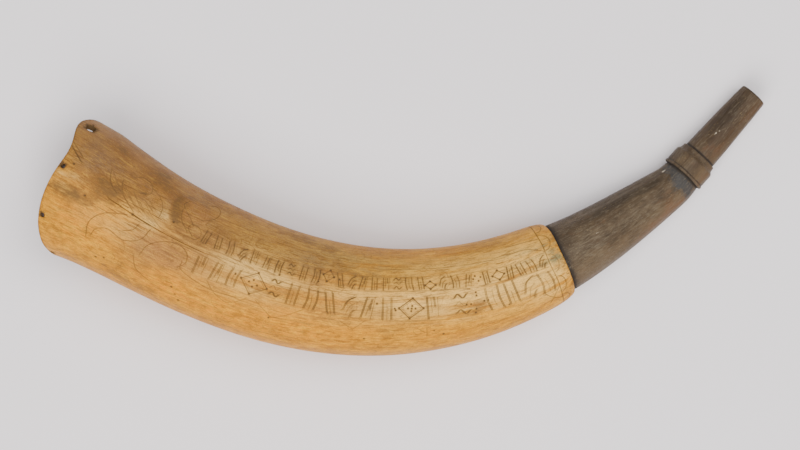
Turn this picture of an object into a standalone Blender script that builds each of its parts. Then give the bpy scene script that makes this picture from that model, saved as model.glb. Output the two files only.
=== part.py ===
"""A powder horn lying on its side: one hollow cow horn with a plugged wide end.

The horn is a loft along a bent centreline that starts in the middle of the mouth and ends
at the tip of the spout.  Outside, it runs from a slanted rim with a raised strap lobe over
the scraped body, a step down to the neck, a turned ring and the spout.  Inside, a tapering
powder hollow narrows to a drilled bore.  A wooden plug closes the mouth, flush with the cut,
and six iron pins hold it.  Units are metres, +Z up, and the horn rests on z = 0.
"""
from math import cos, pi, radians, sin, tan

import bmesh
import bpy
import numpy as np
from mathutils import Matrix, Vector

MM = 0.001

# Centreline: headings in plan and rises above level, at even steps from mouth to neck end
LENGTH = 382.0 * MM
HEADINGS_DEG = (-29.0, -21.8, 1.0, 25.7, 34.3)
RISES_DEG = (11.7, -3.5, -1.2, -6.3, -1.0)
SPOUT_BEND_DEG = 13.9
PATH_START = -95.0 * MM
PATH_POINTS = 1201

# Stations along the centreline
SHOULDER = 240.0 * MM
STEP = 250.8 * MM
BEND_START = 314.0 * MM
NECK_END = 327.6 * MM
SPOUT_START = 340.5 * MM

# Body: half-width across the bend, and depth as a share of the width
BODY_HALF_WIDTH = 30.5 * MM
BODY_TAPER = 8.9 * MM
TAPER_POWER = 2.3
MOUTH_FLARE = 3.7 * MM
FLARE_LENGTH = 20.0 * MM
RIM_FLARE_SLOPE = 0.05
BODY_DEPTH_SHARE = 0.92
ROUND_FROM = 180.0 * MM
ROUND_TO = 270.0 * MM

# Shoulder, neck, ring and spout radii
SHOULDER_DROP = 2.0 * MM
NECK_START_RADIUS = 17.9 * MM
NECK_END_RADIUS = 10.1 * MM
NECK_SWELL = 0.3 * MM
LIP_RADIUS = 11.6 * MM
LIP_LENGTH = 1.3 * MM
GROOVE_RADIUS = 10.9 * MM
GROOVE_LENGTH = 0.7 * MM
BAND_RADIUS = 11.3 * MM
BAND_LENGTH = 7.2 * MM
BAND_CHAMFER = 1.5 * MM
BAND_END_RADIUS = 10.0 * MM
SPOUT_RADIUS = 8.9 * MM
SPOUT_END_RADIUS = 7.2 * MM

# Mouth: the slanted cut and the strap lobe that stands beyond it
MOUTH_LEAN = radians(21.0)
LOBE_HEIGHT = 13.2 * MM
LOBE_ANGLE = radians(5.0)
LOBE_SPREAD = radians(45.0)
LOBE_POWER = 3.5
SLANT_FADE = 80.0 * MM

# Walls, hollow and bore
RIM_WALL = 2.1 * MM
STEP_WALL = 4.0 * MM
BORE_RADIUS = 4.0 * MM
HOLLOW_NARROWS = 200.0 * MM
BORE_START = 312.0 * MM

# Strap hole, plug and pins
STRAP_HOLE_RADIUS = 2.9 * MM
STRAP_HOLE_ANGLE = radians(28.5)
STRAP_HOLE_BEYOND = 5.4 * MM
STRAP_HOLE_DEPTH = 8.4 * MM
PLUG_THICKNESS = 13.0 * MM
PLUG_GAP = 0.75 * MM
PLUG_BLANK = (-6.5 * MM, 26.0 * MM)
PIN_COUNT = 6
FIRST_PIN_ANGLE = radians(76.5)
PIN_SPACING = radians(45.5)
PIN_INSET = 2.2 * MM
PIN_RADIUS = 1.1 * MM
PIN_LENGTH = 11.0 * MM
PIN_SUNK = 0.4 * MM
PIN_EDGE = 0.3 * MM
GAP = 0.3 * MM
FLAT_DEPTH = 0.45 * MM

# Facets
SIDES = 36
BODY_ROWS = 24
SHOULDER_ROWS = 4
NECK_ROWS = 7
SPOUT_ROWS = 5
HOLLOW_ROWS = 24
BORE_ROWS = 6
PLUG_ROWS = 10
PIN_SIDES = 16
HOLE_SIDES = 24
ROW_CROWDING = 1.5

ANGLES = np.arange(SIDES) * 2 * pi / SIDES


def smooth_blend(x):
    """Rise from 0 to 1 with level ends as x goes from 0 to 1."""
    x = np.clip(x, 0, 1)
    return x * x * (3 - 2 * x)


def through(values, s):
    """The polynomial through values at even steps from mouth to neck end, constant beyond."""
    steps = np.linspace(0, 1, len(values))
    return np.polyval(np.polyfit(steps, values, len(values) - 1), np.clip(s / NECK_END, 0, 1))


def frames(s):
    """Unit directions at station s: along the horn, across the bend, and up from its side."""
    spout_bend = SPOUT_BEND_DEG * smooth_blend((s - BEND_START) / (NECK_END - BEND_START))
    heading = np.radians(through(HEADINGS_DEG, s) + spout_bend)
    rise = np.radians(through(RISES_DEG, s))
    level = np.zeros_like(heading)
    forward = np.stack((np.cos(rise) * np.cos(heading), np.cos(rise) * np.sin(heading), np.sin(rise)), -1)
    across = np.stack((-np.sin(heading), np.cos(heading), level), -1)
    return forward, across, np.cross(forward, across)


def make_path():
    """Add up the forward direction in small steps, with the mouth's middle at zero."""
    s = np.linspace(PATH_START, LENGTH, PATH_POINTS)
    forward = frames(s)[0]
    steps = (forward[1:] + forward[:-1]) / 2 * np.diff(s)[:, None]
    points = np.vstack((np.zeros(3), np.cumsum(steps, axis=0)))
    mouth = [np.interp(0, s, points[:, k]) for k in range(3)]
    return s, points - mouth


PATH_STATIONS, PATH = make_path()


def depth_share(s):
    """Depth over width of a section: oval along the body, round from the neck on."""
    blend = smooth_blend((s - ROUND_FROM) / (ROUND_TO - ROUND_FROM))
    return BODY_DEPTH_SHARE + (1 - BODY_DEPTH_SHARE) * blend


def surface(s, width):
    """Points of oval sections of the given half-widths, one column for each side."""
    centre = np.stack([np.interp(s, PATH_STATIONS, PATH[:, k]) for k in range(3)], -1)
    _, across, up = frames(s)
    return (
        centre
        + (width * np.cos(ANGLES))[..., None] * across
        + (width * depth_share(s) * np.sin(ANGLES))[..., None] * up
    )


def body_width(s):
    """Half-width of the body: a slow taper, and a flare that dies away from the mouth."""
    inside = np.maximum(s, 0)
    taper = BODY_TAPER * (inside / SHOULDER) ** TAPER_POWER
    flare = MOUTH_FLARE * np.exp(-inside / FLARE_LENGTH)
    return BODY_HALF_WIDTH - taper + flare - RIM_FLARE_SLOPE * np.minimum(s, 0)


def neck_width(s):
    """Radius of the neck: an even taper with a slight swell."""
    x = (s - STEP) / (NECK_END - STEP)
    return NECK_START_RADIUS + (NECK_END_RADIUS - NECK_START_RADIUS) * x + NECK_SWELL * np.sin(pi * x)


def hollow_width(s):
    """Half-width of the hollow: the outside less the wall, closing down to the bore."""
    wall = RIM_WALL + (STEP_WALL - RIM_WALL) * np.clip(s / STEP, 0, 1)
    outside = np.where(s < STEP, body_width(s), neck_width(s))
    narrowing = smooth_blend((s - HOLLOW_NARROWS) / (BORE_START - HOLLOW_NARROWS))
    return BORE_RADIUS + (outside - wall - BORE_RADIUS) * (1 - narrowing)


def lobe():
    """How far the rim stands beyond the cut: a round-topped hump towards the inner curve."""
    turn = np.abs((ANGLES - LOBE_ANGLE + pi) % (2 * pi) - pi)
    return LOBE_HEIGHT * np.exp(-((turn / LOBE_SPREAD) ** LOBE_POWER))


def slanted(stations, edge):
    """Rows of stations that start along the given edge and become square further in."""
    fade = np.clip(1 - stations / SLANT_FADE, 0, 1) ** 2
    return stations[:, None] + edge * fade[:, None]


def cut_edge(width):
    """Station of the slanted cut at each side, for a skin of this half-width."""
    return -tan(MOUTH_LEAN) * width * BODY_DEPTH_SHARE * np.sin(ANGLES)


def crowded(end, count):
    """Stations from the mouth to an end, closer together near the mouth."""
    return end * np.linspace(0, 1, count) ** ROW_CROWDING


def square(stations, widths):
    """Rows that lie square across the horn, each of one radius."""
    across = np.ones(SIDES)
    return np.outer(stations, across), np.outer(widths, across)


def outer_rows():
    """Stations and half-widths of the outside, from the rim to the end of the spout."""
    body = slanted(crowded(SHOULDER, BODY_ROWS), cut_edge(body_width(0.0)) - lobe())
    x = np.linspace(0, 1, SHOULDER_ROWS + 1)[1:]
    shoulder = SHOULDER + (STEP - SHOULDER) * np.sin(x * pi / 2)
    drop = SHOULDER_DROP * (1 - np.cos(x * pi / 2))
    neck = np.linspace(STEP, NECK_END, NECK_ROWS)
    band = NECK_END + LIP_LENGTH + GROOVE_LENGTH
    ring = (
        (NECK_END, LIP_RADIUS),
        (NECK_END + LIP_LENGTH, LIP_RADIUS),
        (NECK_END + LIP_LENGTH, GROOVE_RADIUS),
        (band, GROOVE_RADIUS),
        (band, BAND_RADIUS),
        (band + BAND_LENGTH, BAND_RADIUS),
        (band + BAND_LENGTH + BAND_CHAMFER, BAND_END_RADIUS),
        (SPOUT_START, BAND_END_RADIUS),
    )
    spout = np.linspace(SPOUT_START, LENGTH, SPOUT_ROWS)
    y = (spout - SPOUT_START) / (LENGTH - SPOUT_START)
    spout_radius = SPOUT_RADIUS - (SPOUT_RADIUS - SPOUT_END_RADIUS) * (2 * y + y**3) / 3
    parts = (
        (body, body_width(body)),
        square(shoulder, body_width(shoulder) - drop),
        square(neck, neck_width(neck)),
        square(*np.transpose(ring)),
        square(spout, spout_radius),
    )
    return [np.vstack(column) for column in zip(*parts)]


def inner_rows():
    """Stations and half-widths of the hollow and the bore, from the rim to the spout end."""
    edge = cut_edge(body_width(0.0) - RIM_WALL) - lobe()
    hollow = slanted(crowded(BORE_START, HOLLOW_ROWS), edge)
    bore = np.linspace(BORE_START, LENGTH, BORE_ROWS + 1)[1:]
    parts = ((hollow, hollow_width(hollow)), square(bore, np.full(BORE_ROWS, BORE_RADIUS)))
    return [np.vstack(column) for column in zip(*parts)]


def make_place():
    """The shift that centres the horn over the origin and sinks it by the flats' depth."""
    points = surface(*outer_rows()).reshape(-1, 3)
    low, high = points.min(axis=0), points.max(axis=0)
    middle = (low + high) / 2
    return np.array((-middle[0], -middle[1], -low[2] - FLAT_DEPTH))


PLACE = make_place()


def material(name, colour, roughness, metallic=0.0):
    """A Principled material of one colour."""
    result = bpy.data.materials.new(name)
    result.use_nodes = True
    shader = result.node_tree.nodes["Principled BSDF"]
    shader.inputs["Base Color"].default_value = (*colour, 1)
    shader.inputs["Roughness"].default_value = roughness
    shader.inputs["Metallic"].default_value = metallic
    return result


def object_from_rows(name, rows, collection, closed_ends):
    """Join rows of points into a tube; without closed ends the last row meets the first."""
    mesh = bpy.data.meshes.new(name)
    bm = bmesh.new()
    loops = [[bm.verts.new(point) for point in row] for row in rows]
    following = loops[1:] if closed_ends else loops[1:] + loops[:1]
    for this, after in zip(loops, following):
        for j in range(SIDES):
            k = (j + 1) % SIDES
            bm.faces.new((this[j], this[k], after[k], after[j]))
    if closed_ends:
        bm.faces.new(reversed(loops[0]))
        bm.faces.new(loops[-1])
    bm.to_mesh(mesh)
    bm.free()
    result = bpy.data.objects.new(name, mesh)
    collection.objects.link(result)
    return result


def shade(result, sharp_above_deg=35):
    """Smooth shading with the crisp edges kept."""
    result.data.shade_smooth()
    result.data.set_sharp_from_angle(angle=radians(sharp_above_deg))


def make_horn(collection):
    """The one carved piece: outside, rim, hollow and bore as one closed skin."""
    outside = surface(*outer_rows()) + PLACE
    outside[..., 2] = np.maximum(outside[..., 2], 0)
    inside = surface(*inner_rows()) + PLACE
    horn = object_from_rows("horn", np.vstack((outside, inside[::-1])), collection, False)
    horn.data.materials.append(material("pale_horn", (0.56, 0.35, 0.15), 0.45))
    shade(horn)
    return horn


def mouth_plane():
    """Middle of the slanted cut and the direction that it faces."""
    forward, _, up = frames(np.array(0.0))
    facing = -cos(MOUTH_LEAN) * forward - sin(MOUTH_LEAN) * up
    return Vector(PLACE), Vector(facing)


def make_plug(collection):
    """A slice of the hollow's own shape, cut flat along the mouth and again behind it."""
    edge = cut_edge(body_width(0.0) - RIM_WALL)
    stations = slanted(np.linspace(*PLUG_BLANK, PLUG_ROWS), edge)
    points = surface(stations, hollow_width(stations) - PLUG_GAP) + PLACE
    plug = object_from_rows("base_plug", points, collection, True)
    middle, facing = mouth_plane()
    bm = bmesh.new()
    bm.from_mesh(plug.data)
    for point, outward in ((middle, facing), (middle - facing * PLUG_THICKNESS, -facing)):
        geometry = bm.verts[:] + bm.edges[:] + bm.faces[:]
        cut = bmesh.ops.bisect_plane(bm, geom=geometry, plane_co=point, plane_no=outward, clear_outer=True)
        edges = [item for item in cut["geom_cut"] if isinstance(item, bmesh.types.BMEdge)]
        bmesh.ops.contextual_create(bm, geom=edges)
    bmesh.ops.recalc_face_normals(bm, faces=bm.faces)
    bm.to_mesh(plug.data)
    bm.free()
    plug.data.materials.append(material("plug_wood", (0.20, 0.11, 0.05), 0.7))
    shade(plug)
    return plug


def rod(name, radius, length, middle, direction, sides, collection):
    """A cylinder of this length about a middle point, lying along a direction."""
    bpy.ops.mesh.primitive_cylinder_add(vertices=sides, radius=radius, depth=length)
    result = bpy.context.object
    result.name = name
    turn = direction.to_track_quat("Z", "Y").to_matrix().to_4x4()
    result.matrix_world = Matrix.Translation(middle) @ turn
    for holder in result.users_collection:
        holder.objects.unlink(result)
    collection.objects.link(result)
    return result


def outside_point(s, angle):
    """A point of the horn's outside and the outward direction there."""
    s = np.array(s)
    centre = np.array([np.interp(s, PATH_STATIONS, PATH[:, k]) for k in range(3)]) + PLACE
    _, across, up = frames(s)
    width = body_width(s)
    depth = width * depth_share(s)
    point = centre + width * cos(angle) * across + depth * sin(angle) * up
    normal = cos(angle) / width * across + sin(angle) / depth * up
    return Vector(point), Vector(normal).normalized()


def cut_station(angle):
    """Station at which the slanted cut meets the horn's outside at this angle."""
    return -tan(MOUTH_LEAN) * body_width(0.0) * BODY_DEPTH_SHARE * sin(angle)


def point_behind_mouth(angle, deep):
    """The outside point at this angle that lies this deep behind the mouth's plane."""
    middle, facing = mouth_plane()
    station = cut_station(angle)
    for _ in range(20):
        point, _ = outside_point(station, angle)
        station += (deep - (middle - point).dot(facing)) / cos(MOUTH_LEAN)
    return point


def cut_away(target, cutter):
    """Take a cutter's shape out of a piece."""
    modifier = target.modifiers.new(cutter.name, "BOOLEAN")
    modifier.operation = "DIFFERENCE"
    modifier.solver = "EXACT"
    modifier.object = cutter
    cutter.hide_render = True
    cutter.display_type = "WIRE"


def make_strap_hole(horn, cutters):
    """A round hole square to the surface of the lobe."""
    station = cut_station(STRAP_HOLE_ANGLE) - STRAP_HOLE_BEYOND
    point, outward = outside_point(station, STRAP_HOLE_ANGLE)
    hole = rod("strap_hole", STRAP_HOLE_RADIUS, STRAP_HOLE_DEPTH, point, outward, HOLE_SIDES, cutters)
    cut_away(horn, hole)


def make_pins(horn, plug, collection, cutters):
    """Pins along the mouth plane, aimed at its middle, each in a slightly wider hole."""
    iron = material("pin_iron", (0.05, 0.04, 0.035), 0.6, 0.8)
    middle, facing = mouth_plane()
    for count in range(PIN_COUNT):
        angle = FIRST_PIN_ANGLE + count * PIN_SPACING
        point = point_behind_mouth(angle, PIN_INSET)
        target = middle - facing * (middle - point).dot(facing)
        inward = (target - point).normalized()
        centre = point + inward * (PIN_LENGTH / 2 + PIN_SUNK)
        pin = rod(f"base_nail_{count + 1}", PIN_RADIUS, PIN_LENGTH, centre, inward, PIN_SIDES, collection)
        edge = pin.modifiers.new("worn edge", "BEVEL")
        edge.width = PIN_EDGE
        edge.segments = 1
        pin.data.materials.append(iron)
        shade(pin)
        hole_length = 2 * (PIN_SUNK + PIN_LENGTH + GAP)
        hole = rod(
            f"pin_hole_{count + 1}", PIN_RADIUS + GAP, hole_length, point, inward, PIN_SIDES, cutters
        )
        cut_away(horn, hole)
        cut_away(plug, hole)


def main():
    for old in list(bpy.data.objects):
        bpy.data.objects.remove(old)
    collections = []
    for name in ("powder_horn", "cutters"):
        collection = bpy.data.collections.new(name)
        bpy.context.scene.collection.children.link(collection)
        collections.append(collection)
    pieces, cutters = collections
    horn = make_horn(pieces)
    plug = make_plug(pieces)
    make_strap_hole(horn, cutters)
    make_pins(horn, plug, pieces, cutters)


main()
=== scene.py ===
"""An engraved powder horn lying on a pale table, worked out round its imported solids.

The horn is one closed skin.  Its outside is a flat pattern, with the station along the horn one
way and the angle round it the other.  The pattern is cut into triangles along every engraved
stroke and then wrapped round the bent centreline.  The neck, ring, spout, bore and hollow are
rows of points carried along the same line.  Lengths are millimetres and angles radians until a
mesh is made; angle 0 is the inner side of the bend and a quarter turn is the engraved top.
"""

import bmesh
import bpy
import numpy as np
from mathutils.geometry import delaunay_2d_cdt
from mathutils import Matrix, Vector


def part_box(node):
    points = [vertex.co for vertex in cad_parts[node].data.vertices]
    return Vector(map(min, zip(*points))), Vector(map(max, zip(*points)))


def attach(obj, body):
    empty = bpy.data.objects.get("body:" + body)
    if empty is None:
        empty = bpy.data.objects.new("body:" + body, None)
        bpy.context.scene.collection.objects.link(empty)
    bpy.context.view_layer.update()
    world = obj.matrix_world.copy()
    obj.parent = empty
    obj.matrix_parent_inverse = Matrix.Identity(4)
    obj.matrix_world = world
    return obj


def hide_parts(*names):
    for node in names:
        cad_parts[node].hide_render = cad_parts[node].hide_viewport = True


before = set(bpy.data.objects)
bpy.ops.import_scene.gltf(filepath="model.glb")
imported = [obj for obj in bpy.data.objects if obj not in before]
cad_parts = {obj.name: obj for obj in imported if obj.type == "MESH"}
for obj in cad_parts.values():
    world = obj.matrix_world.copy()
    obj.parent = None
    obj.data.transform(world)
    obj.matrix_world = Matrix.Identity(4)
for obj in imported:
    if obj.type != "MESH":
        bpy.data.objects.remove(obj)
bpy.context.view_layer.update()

MM = 0.001
TURN = 2 * np.pi

# Centreline: headings in plan and rises above level, at even steps from mouth to neck end
LENGTH = 382.0
HEADINGS_DEG = (-29.0, -21.8, 1.0, 25.7, 34.3)
RISES_DEG = (11.7, -3.5, -1.2, -6.3, -1.0)
SPOUT_BEND_DEG = 13.9
LINE_START = -95.0
LINE_POINTS = 1201

# Stations along the centreline
SHOULDER = 240.0
STEP = 250.8
BEND_START = 314.0
NECK_END = 327.6
BAND_START = 329.6
SPOUT_START = 340.5

# Half-width of the body, and depth as a share of width
BODY_HALF_WIDTH = 30.5
BODY_TAPER = 8.9
TAPER_POWER = 2.3
MOUTH_FLARE = 3.7
FLARE_LENGTH = 20.0
RIM_FLARE_SLOPE = 0.05
BODY_DEPTH_SHARE = 0.92
ROUND_FROM, ROUND_TO = 180.0, 270.0
SHOULDER_DROP = 2.0

# Neck, ring and spout radii
NECK_START_RADIUS = 17.9
NECK_END_RADIUS = 10.1
NECK_SWELL = 0.3
LIP_RADIUS = 11.6
BAND_RADIUS = 11.3
SPOUT_RADIUS = 8.9
SPOUT_END_RADIUS = 7.2

# The mouth's slanted cut, and the strap lobe beyond it
MOUTH_LEAN = np.radians(21.0)
LOBE_HEIGHT = 13.2
LOBE_ANGLE = np.radians(5.0)
LOBE_SPREAD = np.radians(45.0)
LOBE_POWER = 3.5
SLANT_FADE = 80.0
FULLER = 1.1
FULLER_STATION = 8.0
FULLER_LENGTH = 22.0
FULLER_SPREAD = np.radians(38.0)
RIM_ROUND = 0.25

# Walls, hollow and bore
RIM_WALL = 2.1
STEP_WALL = 4.0
BORE_RADIUS = 4.0
HOLLOW_NARROWS = 200.0
BORE_START = 312.0
RIM_INSIDE = 24.0

# Strap hole, plug and pins
STRAP_HOLE_RADIUS = 2.6
STRAP_HOLE_ANGLE = np.radians(28.5)
STRAP_HOLE_BEYOND = 5.4
STRAP_HOLE_LEVELLING = 0.5
PLUG_THICKNESS = 13.0
PLUG_GAP = 0.3
PIN_COUNT = 6
FIRST_PIN_ANGLE = np.radians(76.5)
PIN_SPACING = np.radians(45.5)
PIN_INSET = 2.2
PIN_RADIUS = 1.05
PIN_HOLE_RADIUS = 1.2
DRILL_TAPER = 0.92
STRAP_HOLE_WEAR, PIN_HOLE_WEAR = (0.6, 0.2), (0.3, 0.08)
PIN_LENGTH = 11.0
PIN_SUNK = 0.4
PIN_DOME = 0.35
FLAT_DEPTH = 0.45

# Fineness of the horn's skin
COLUMNS = 144
ROW_SPACING = 1.5
PATTERN_WIDTH = 30.0
RING_POINTS = 40
DOT_RINGS = ((0.5, 8), (1.0, 10), (1.7, 12))

# Which of the horn's materials a stretch of skin takes
SCRAPED, DARK, RAW = range(3)


# ---------------------------------------------------------------- the bent form


def smooth(x):
    """Rise from 0 to 1 with level ends: three times x squared less twice x cubed."""
    x = np.clip(x, 0, 1)
    return x * x * (3 - 2 * x)


def through(values, s):
    """The polynomial through values at even steps from mouth to neck end, constant beyond."""
    steps = np.linspace(0, 1, len(values))
    return np.polyval(np.polyfit(steps, values, len(values) - 1), np.clip(s / NECK_END, 0, 1))


def directions(s):
    """Unit directions at station s: along the horn, across the bend, and up from its side."""
    bend = SPOUT_BEND_DEG * smooth((s - BEND_START) / (NECK_END - BEND_START))
    heading = np.radians(through(HEADINGS_DEG, s) + bend)
    rise = np.radians(through(RISES_DEG, s))
    level = np.zeros_like(heading)
    level_part = np.cos(rise)
    forward = np.stack(
        (level_part * np.cos(heading), level_part * np.sin(heading), np.sin(rise)), -1,
    )
    across = np.stack((-np.sin(heading), np.cos(heading), level), -1)
    return forward, across, np.cross(forward, across)


def make_line():
    """Stations and points of the centreline: the forward direction added up in small steps."""
    s = np.linspace(LINE_START, LENGTH, LINE_POINTS)
    forward = directions(s)[0]
    steps = (forward[1:] + forward[:-1]) / 2 * np.diff(s)[:, None]
    points = np.vstack((np.zeros(3), np.cumsum(steps, axis=0)))
    mouth = [np.interp(0, s, points[:, k]) for k in range(3)]
    return s, points - mouth


LINE_STATIONS, LINE = make_line()


def centre(s):
    """Point of the centreline at station s."""
    return np.stack([np.interp(s, LINE_STATIONS, LINE[:, k]) for k in range(3)], -1)


def depth_share(s):
    """Depth over width of a section: oval along the body, round from the neck on."""
    rounding = smooth((s - ROUND_FROM) / (ROUND_TO - ROUND_FROM))
    return BODY_DEPTH_SHARE + (1 - BODY_DEPTH_SHARE) * rounding


def on_horn(s, a, w):
    """Point of an oval section: the centre, w cos a across and w sin a times the share up."""
    _, across, up = directions(s)
    sideways = (w * np.cos(a))[..., None] * across
    return centre(s) + sideways + (w * depth_share(s) * np.sin(a))[..., None] * up


def shoulder_drop(s):
    """How far the rounded shoulder has dropped: a quarter of a circle from shoulder to step."""
    over = np.clip((s - SHOULDER) / (STEP - SHOULDER), 0, 1)
    return SHOULDER_DROP * (1 - np.sqrt(1 - over**2))


def body_width(s):
    """Half-width of the body: less a taper that grows as a power of the station, plus a flare
    that dies away from the mouth and opens evenly past it, less the shoulder's drop."""
    inside = np.maximum(s, 0)
    taper = BODY_TAPER * (inside / SHOULDER) ** TAPER_POWER
    flare = MOUTH_FLARE * np.exp(-inside / FLARE_LENGTH)
    return BODY_HALF_WIDTH - taper + flare - RIM_FLARE_SLOPE * np.minimum(s, 0) - shoulder_drop(s)


def neck_width(s):
    """Radius of the neck: an even taper plus half a sine wave of swell."""
    x = (s - STEP) / (NECK_END - STEP)
    narrower = (NECK_START_RADIUS - NECK_END_RADIUS) * x
    return NECK_START_RADIUS - narrower + NECK_SWELL * np.sin(np.pi * x)


def spout_width(s):
    """Radius of the spout: narrower by a third of twice y plus y cubed, y the share of its run."""
    y = (s - SPOUT_START) / (LENGTH - SPOUT_START)
    return SPOUT_RADIUS - (SPOUT_RADIUS - SPOUT_END_RADIUS) * (2 * y + y**3) / 3


def hollow_width(s):
    """Half-width of the hollow: the outside less the wall, closing down to the bore."""
    wall = RIM_WALL + (STEP_WALL - RIM_WALL) * np.clip(s / STEP, 0, 1)
    outside = np.where(s < STEP, body_width(s) + shoulder_drop(s), neck_width(s))
    narrowing = smooth((s - HOLLOW_NARROWS) / (BORE_START - HOLLOW_NARROWS))
    return BORE_RADIUS + (outside - wall - BORE_RADIUS) * (1 - narrowing)


def turned(a, start):
    """The signed turn from one angle to another, at most half a turn either way."""
    return (a - start + np.pi) % TURN - np.pi


def from_seam(a):
    """The same angle counted on the flat pattern, whose seam runs along the underside."""
    return (a + np.pi / 2) % TURN - np.pi / 2


def lobe(a):
    """How far the rim stands beyond the cut, a hump towards the inner curve: its height times e
    to the minus turn over spread, raised to a power that rounds the top."""
    turn = np.abs(turned(a, LOBE_ANGLE))
    return LOBE_HEIGHT * np.exp(-((turn / LOBE_SPREAD) ** LOBE_POWER))


def cut_station(a, width):
    """Station at which the slanted cut meets a skin of this half-width: the lean's tangent
    times how far below the centre the skin is."""
    return -np.tan(MOUTH_LEAN) * width * BODY_DEPTH_SHARE * np.sin(a)


def slanted(stations, edge):
    """Rows of stations that start along the given edge and become square further in: the edge
    is added by a share that falls with the square of what is left of the fade."""
    fade = np.clip(1 - stations / SLANT_FADE, 0, 1) ** 2
    return stations[:, None] + edge * fade[:, None]


def make_place():
    """The shift that sets the horn's outside in the solid's box, sunk by the depth of its flats."""
    a = np.linspace(0, TURN, COLUMNS)
    body = slanted(np.linspace(0, SHOULDER, COLUMNS), cut_station(a, body_width(0.0)) - lobe(a))
    spout = np.linspace(SPOUT_START, LENGTH, COLUMNS)[:, None] + 0 * a
    points = np.vstack((on_horn(body, a, body_width(body)), on_horn(spout, a, spout_width(spout))))
    low, high = points.reshape(-1, 3).min(axis=0), points.reshape(-1, 3).max(axis=0)
    cad_low, cad_high = (np.array(corner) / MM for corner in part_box("horn"))
    shift = (cad_low + cad_high - low - high) / 2
    shift[2] = cad_low[2] - low[2] - FLAT_DEPTH
    return shift


PLACE = make_place()


def unwrap(points, s):
    """Station, angle and half-width of points near station s: step along the line till level."""
    for _ in range(5):
        forward, across, up = directions(s)
        away = points - PLACE - centre(s)
        s = s + (away * forward).sum(-1)
    forward, across, up = directions(s)
    away = points - PLACE - centre(s)
    x, y = (away * across).sum(-1), (away * up).sum(-1) / depth_share(s)
    return s, np.arctan2(y, x), np.hypot(x, y)


# ---------------------------------------------------------------- uneven hand work


def lumps(points, size, seed):
    """Smooth lumps from -1 to 1: a random number at each corner of a cell, blended between."""
    cells = points / np.asarray(size, float)
    low = np.floor(cells)
    share = smooth(cells - low)
    total = 0.0
    for corner in np.ndindex(2, 2, 2):
        wild = np.sin((low + corner) @ (127.1, 311.7, 74.7) + 17.3 * seed) * 43758.5453
        weight = np.where(np.array(corner, bool), share, 1 - share).prod(axis=-1)
        total = total + weight * (wild - np.floor(wild))
    return 2 * total - 1


def straightened(s, a, w):
    """Place on the horn as if it were straight: station, w cos a and w sin a."""
    return np.stack(np.broadcast_arrays(s, w * np.cos(a), w * np.sin(a)), -1)


def body_marks(s, a):
    """How deep scraping has cut into the body: fifteen cosine flats round it, wandering by
    lumps, and soft hollows that are lumps themselves."""
    spot = straightened(s, a, BODY_HALF_WIDTH)
    wander = 2.4 * lumps(spot, (70, 26, 26), 1)
    flats = 0.5 + 0.5 * np.cos(15 * a + wander)
    hollows = 0.5 + 0.5 * lumps(spot, (26, 8, 8), 2)
    return 0.10 * flats + 0.16 * hollows


def scraped_width(s, a):
    """Half-width of the body as the hand left it: fuller behind the lobe, less the marks."""
    turn = turned(a, LOBE_ANGLE)
    fuller = np.exp(-(((s - FULLER_STATION) / FULLER_LENGTH) ** 2) - (turn / FULLER_SPREAD) ** 2)
    return body_width(s) + FULLER * fuller - body_marks(s, a)


def neck_marks(s, a):
    """How deep rasping has cut into the neck, ring and spout: eleven wandering cosine flats,
    hollows and fine ridges."""
    spot = straightened(s, a, NECK_START_RADIUS)
    wander = 1.7 * lumps(spot, (40, 15, 15), 3)
    flats = 0.5 + 0.5 * np.cos(11 * a + wander)
    hollows = 0.5 + 0.5 * lumps(spot, (14, 4.5, 4.5), 4)
    ridges = 0.5 + 0.5 * lumps(spot, (30, 1.6, 1.6), 5)
    return 0.16 * flats + 0.13 * hollows + 0.07 * ridges


def waver(s, a):
    """How far the hand-cut step and ring stray from square: lumps round the horn, times e to
    the minus distance from each over its reach, to an even power."""
    spot = straightened(0 * s, a, 1.0)
    at_step = 0.8 * lumps(spot, 0.9, 6) * np.exp(-(((s - STEP) / 9) ** 2))
    at_ring = 0.3 * lumps(spot, 0.9, 7) * np.exp(-(((s - NECK_END) / 10) ** 4))
    return at_step + at_ring


def skin(s, a, w):
    """Point of the finished horn: the section's point at a wavering station, flat underneath."""
    points = on_horn(s + waver(s, a), a, w) + PLACE
    points[..., 2] = np.maximum(points[..., 2], 0)
    return points


# ---------------------------------------------------------------- strokes of the engraving


def flat_scale(points):
    """What turns steps of (station, angle) among these points into flat lengths in mm."""
    return np.array((1.0, body_width(points[:, 0].mean())))


def off_middle(points, middle):
    """Distance of each point from a middle, in flat lengths."""
    return np.hypot(*((points - middle) * flat_scale(middle[None])).T)


def run(points, curved=True, spacing=0.9):
    """A line of close points through a few: straight runs, or a curve whose slope at each
    point is half the step between its neighbours.  Points are (station, angle in degrees)."""
    points = np.array(points, float)
    points[:, 1] = np.radians(points[:, 1])
    scale = flat_scale(points)
    ends = np.vstack((2 * points[0] - points[1], points, 2 * points[-1] - points[-2]))
    slopes = (ends[2:] - ends[:-2]) / 2
    pieces = []
    for k in range(len(points) - 1):
        gap = points[k + 1] - points[k]
        count = max(1, int(np.ceil(np.hypot(*(gap * scale)) / spacing)))
        t = (np.arange(count) / count)[:, None]
        if curved:
            ease = t * t * (3 - 2 * t)
            swing = t * (1 - t) ** 2 * slopes[k] - t * t * (1 - t) * slopes[k + 1]
            pieces.append(points[k] + ease * gap + swing)
        else:
            pieces.append(points[k] + t * gap)
    return np.vstack((*pieces, points[-1:]))


def stroke(points, width, depth, ink, curved=True, smear=0.0):
    """One cut of the graver: its line, half its width, its depth, how dark it has gone, and how
    much of that dirt is smeared beside it."""
    line = run(points, curved)
    return {"line": line, "half": width / 2, "depth": depth, "ink": ink, "smear": smear}


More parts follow.
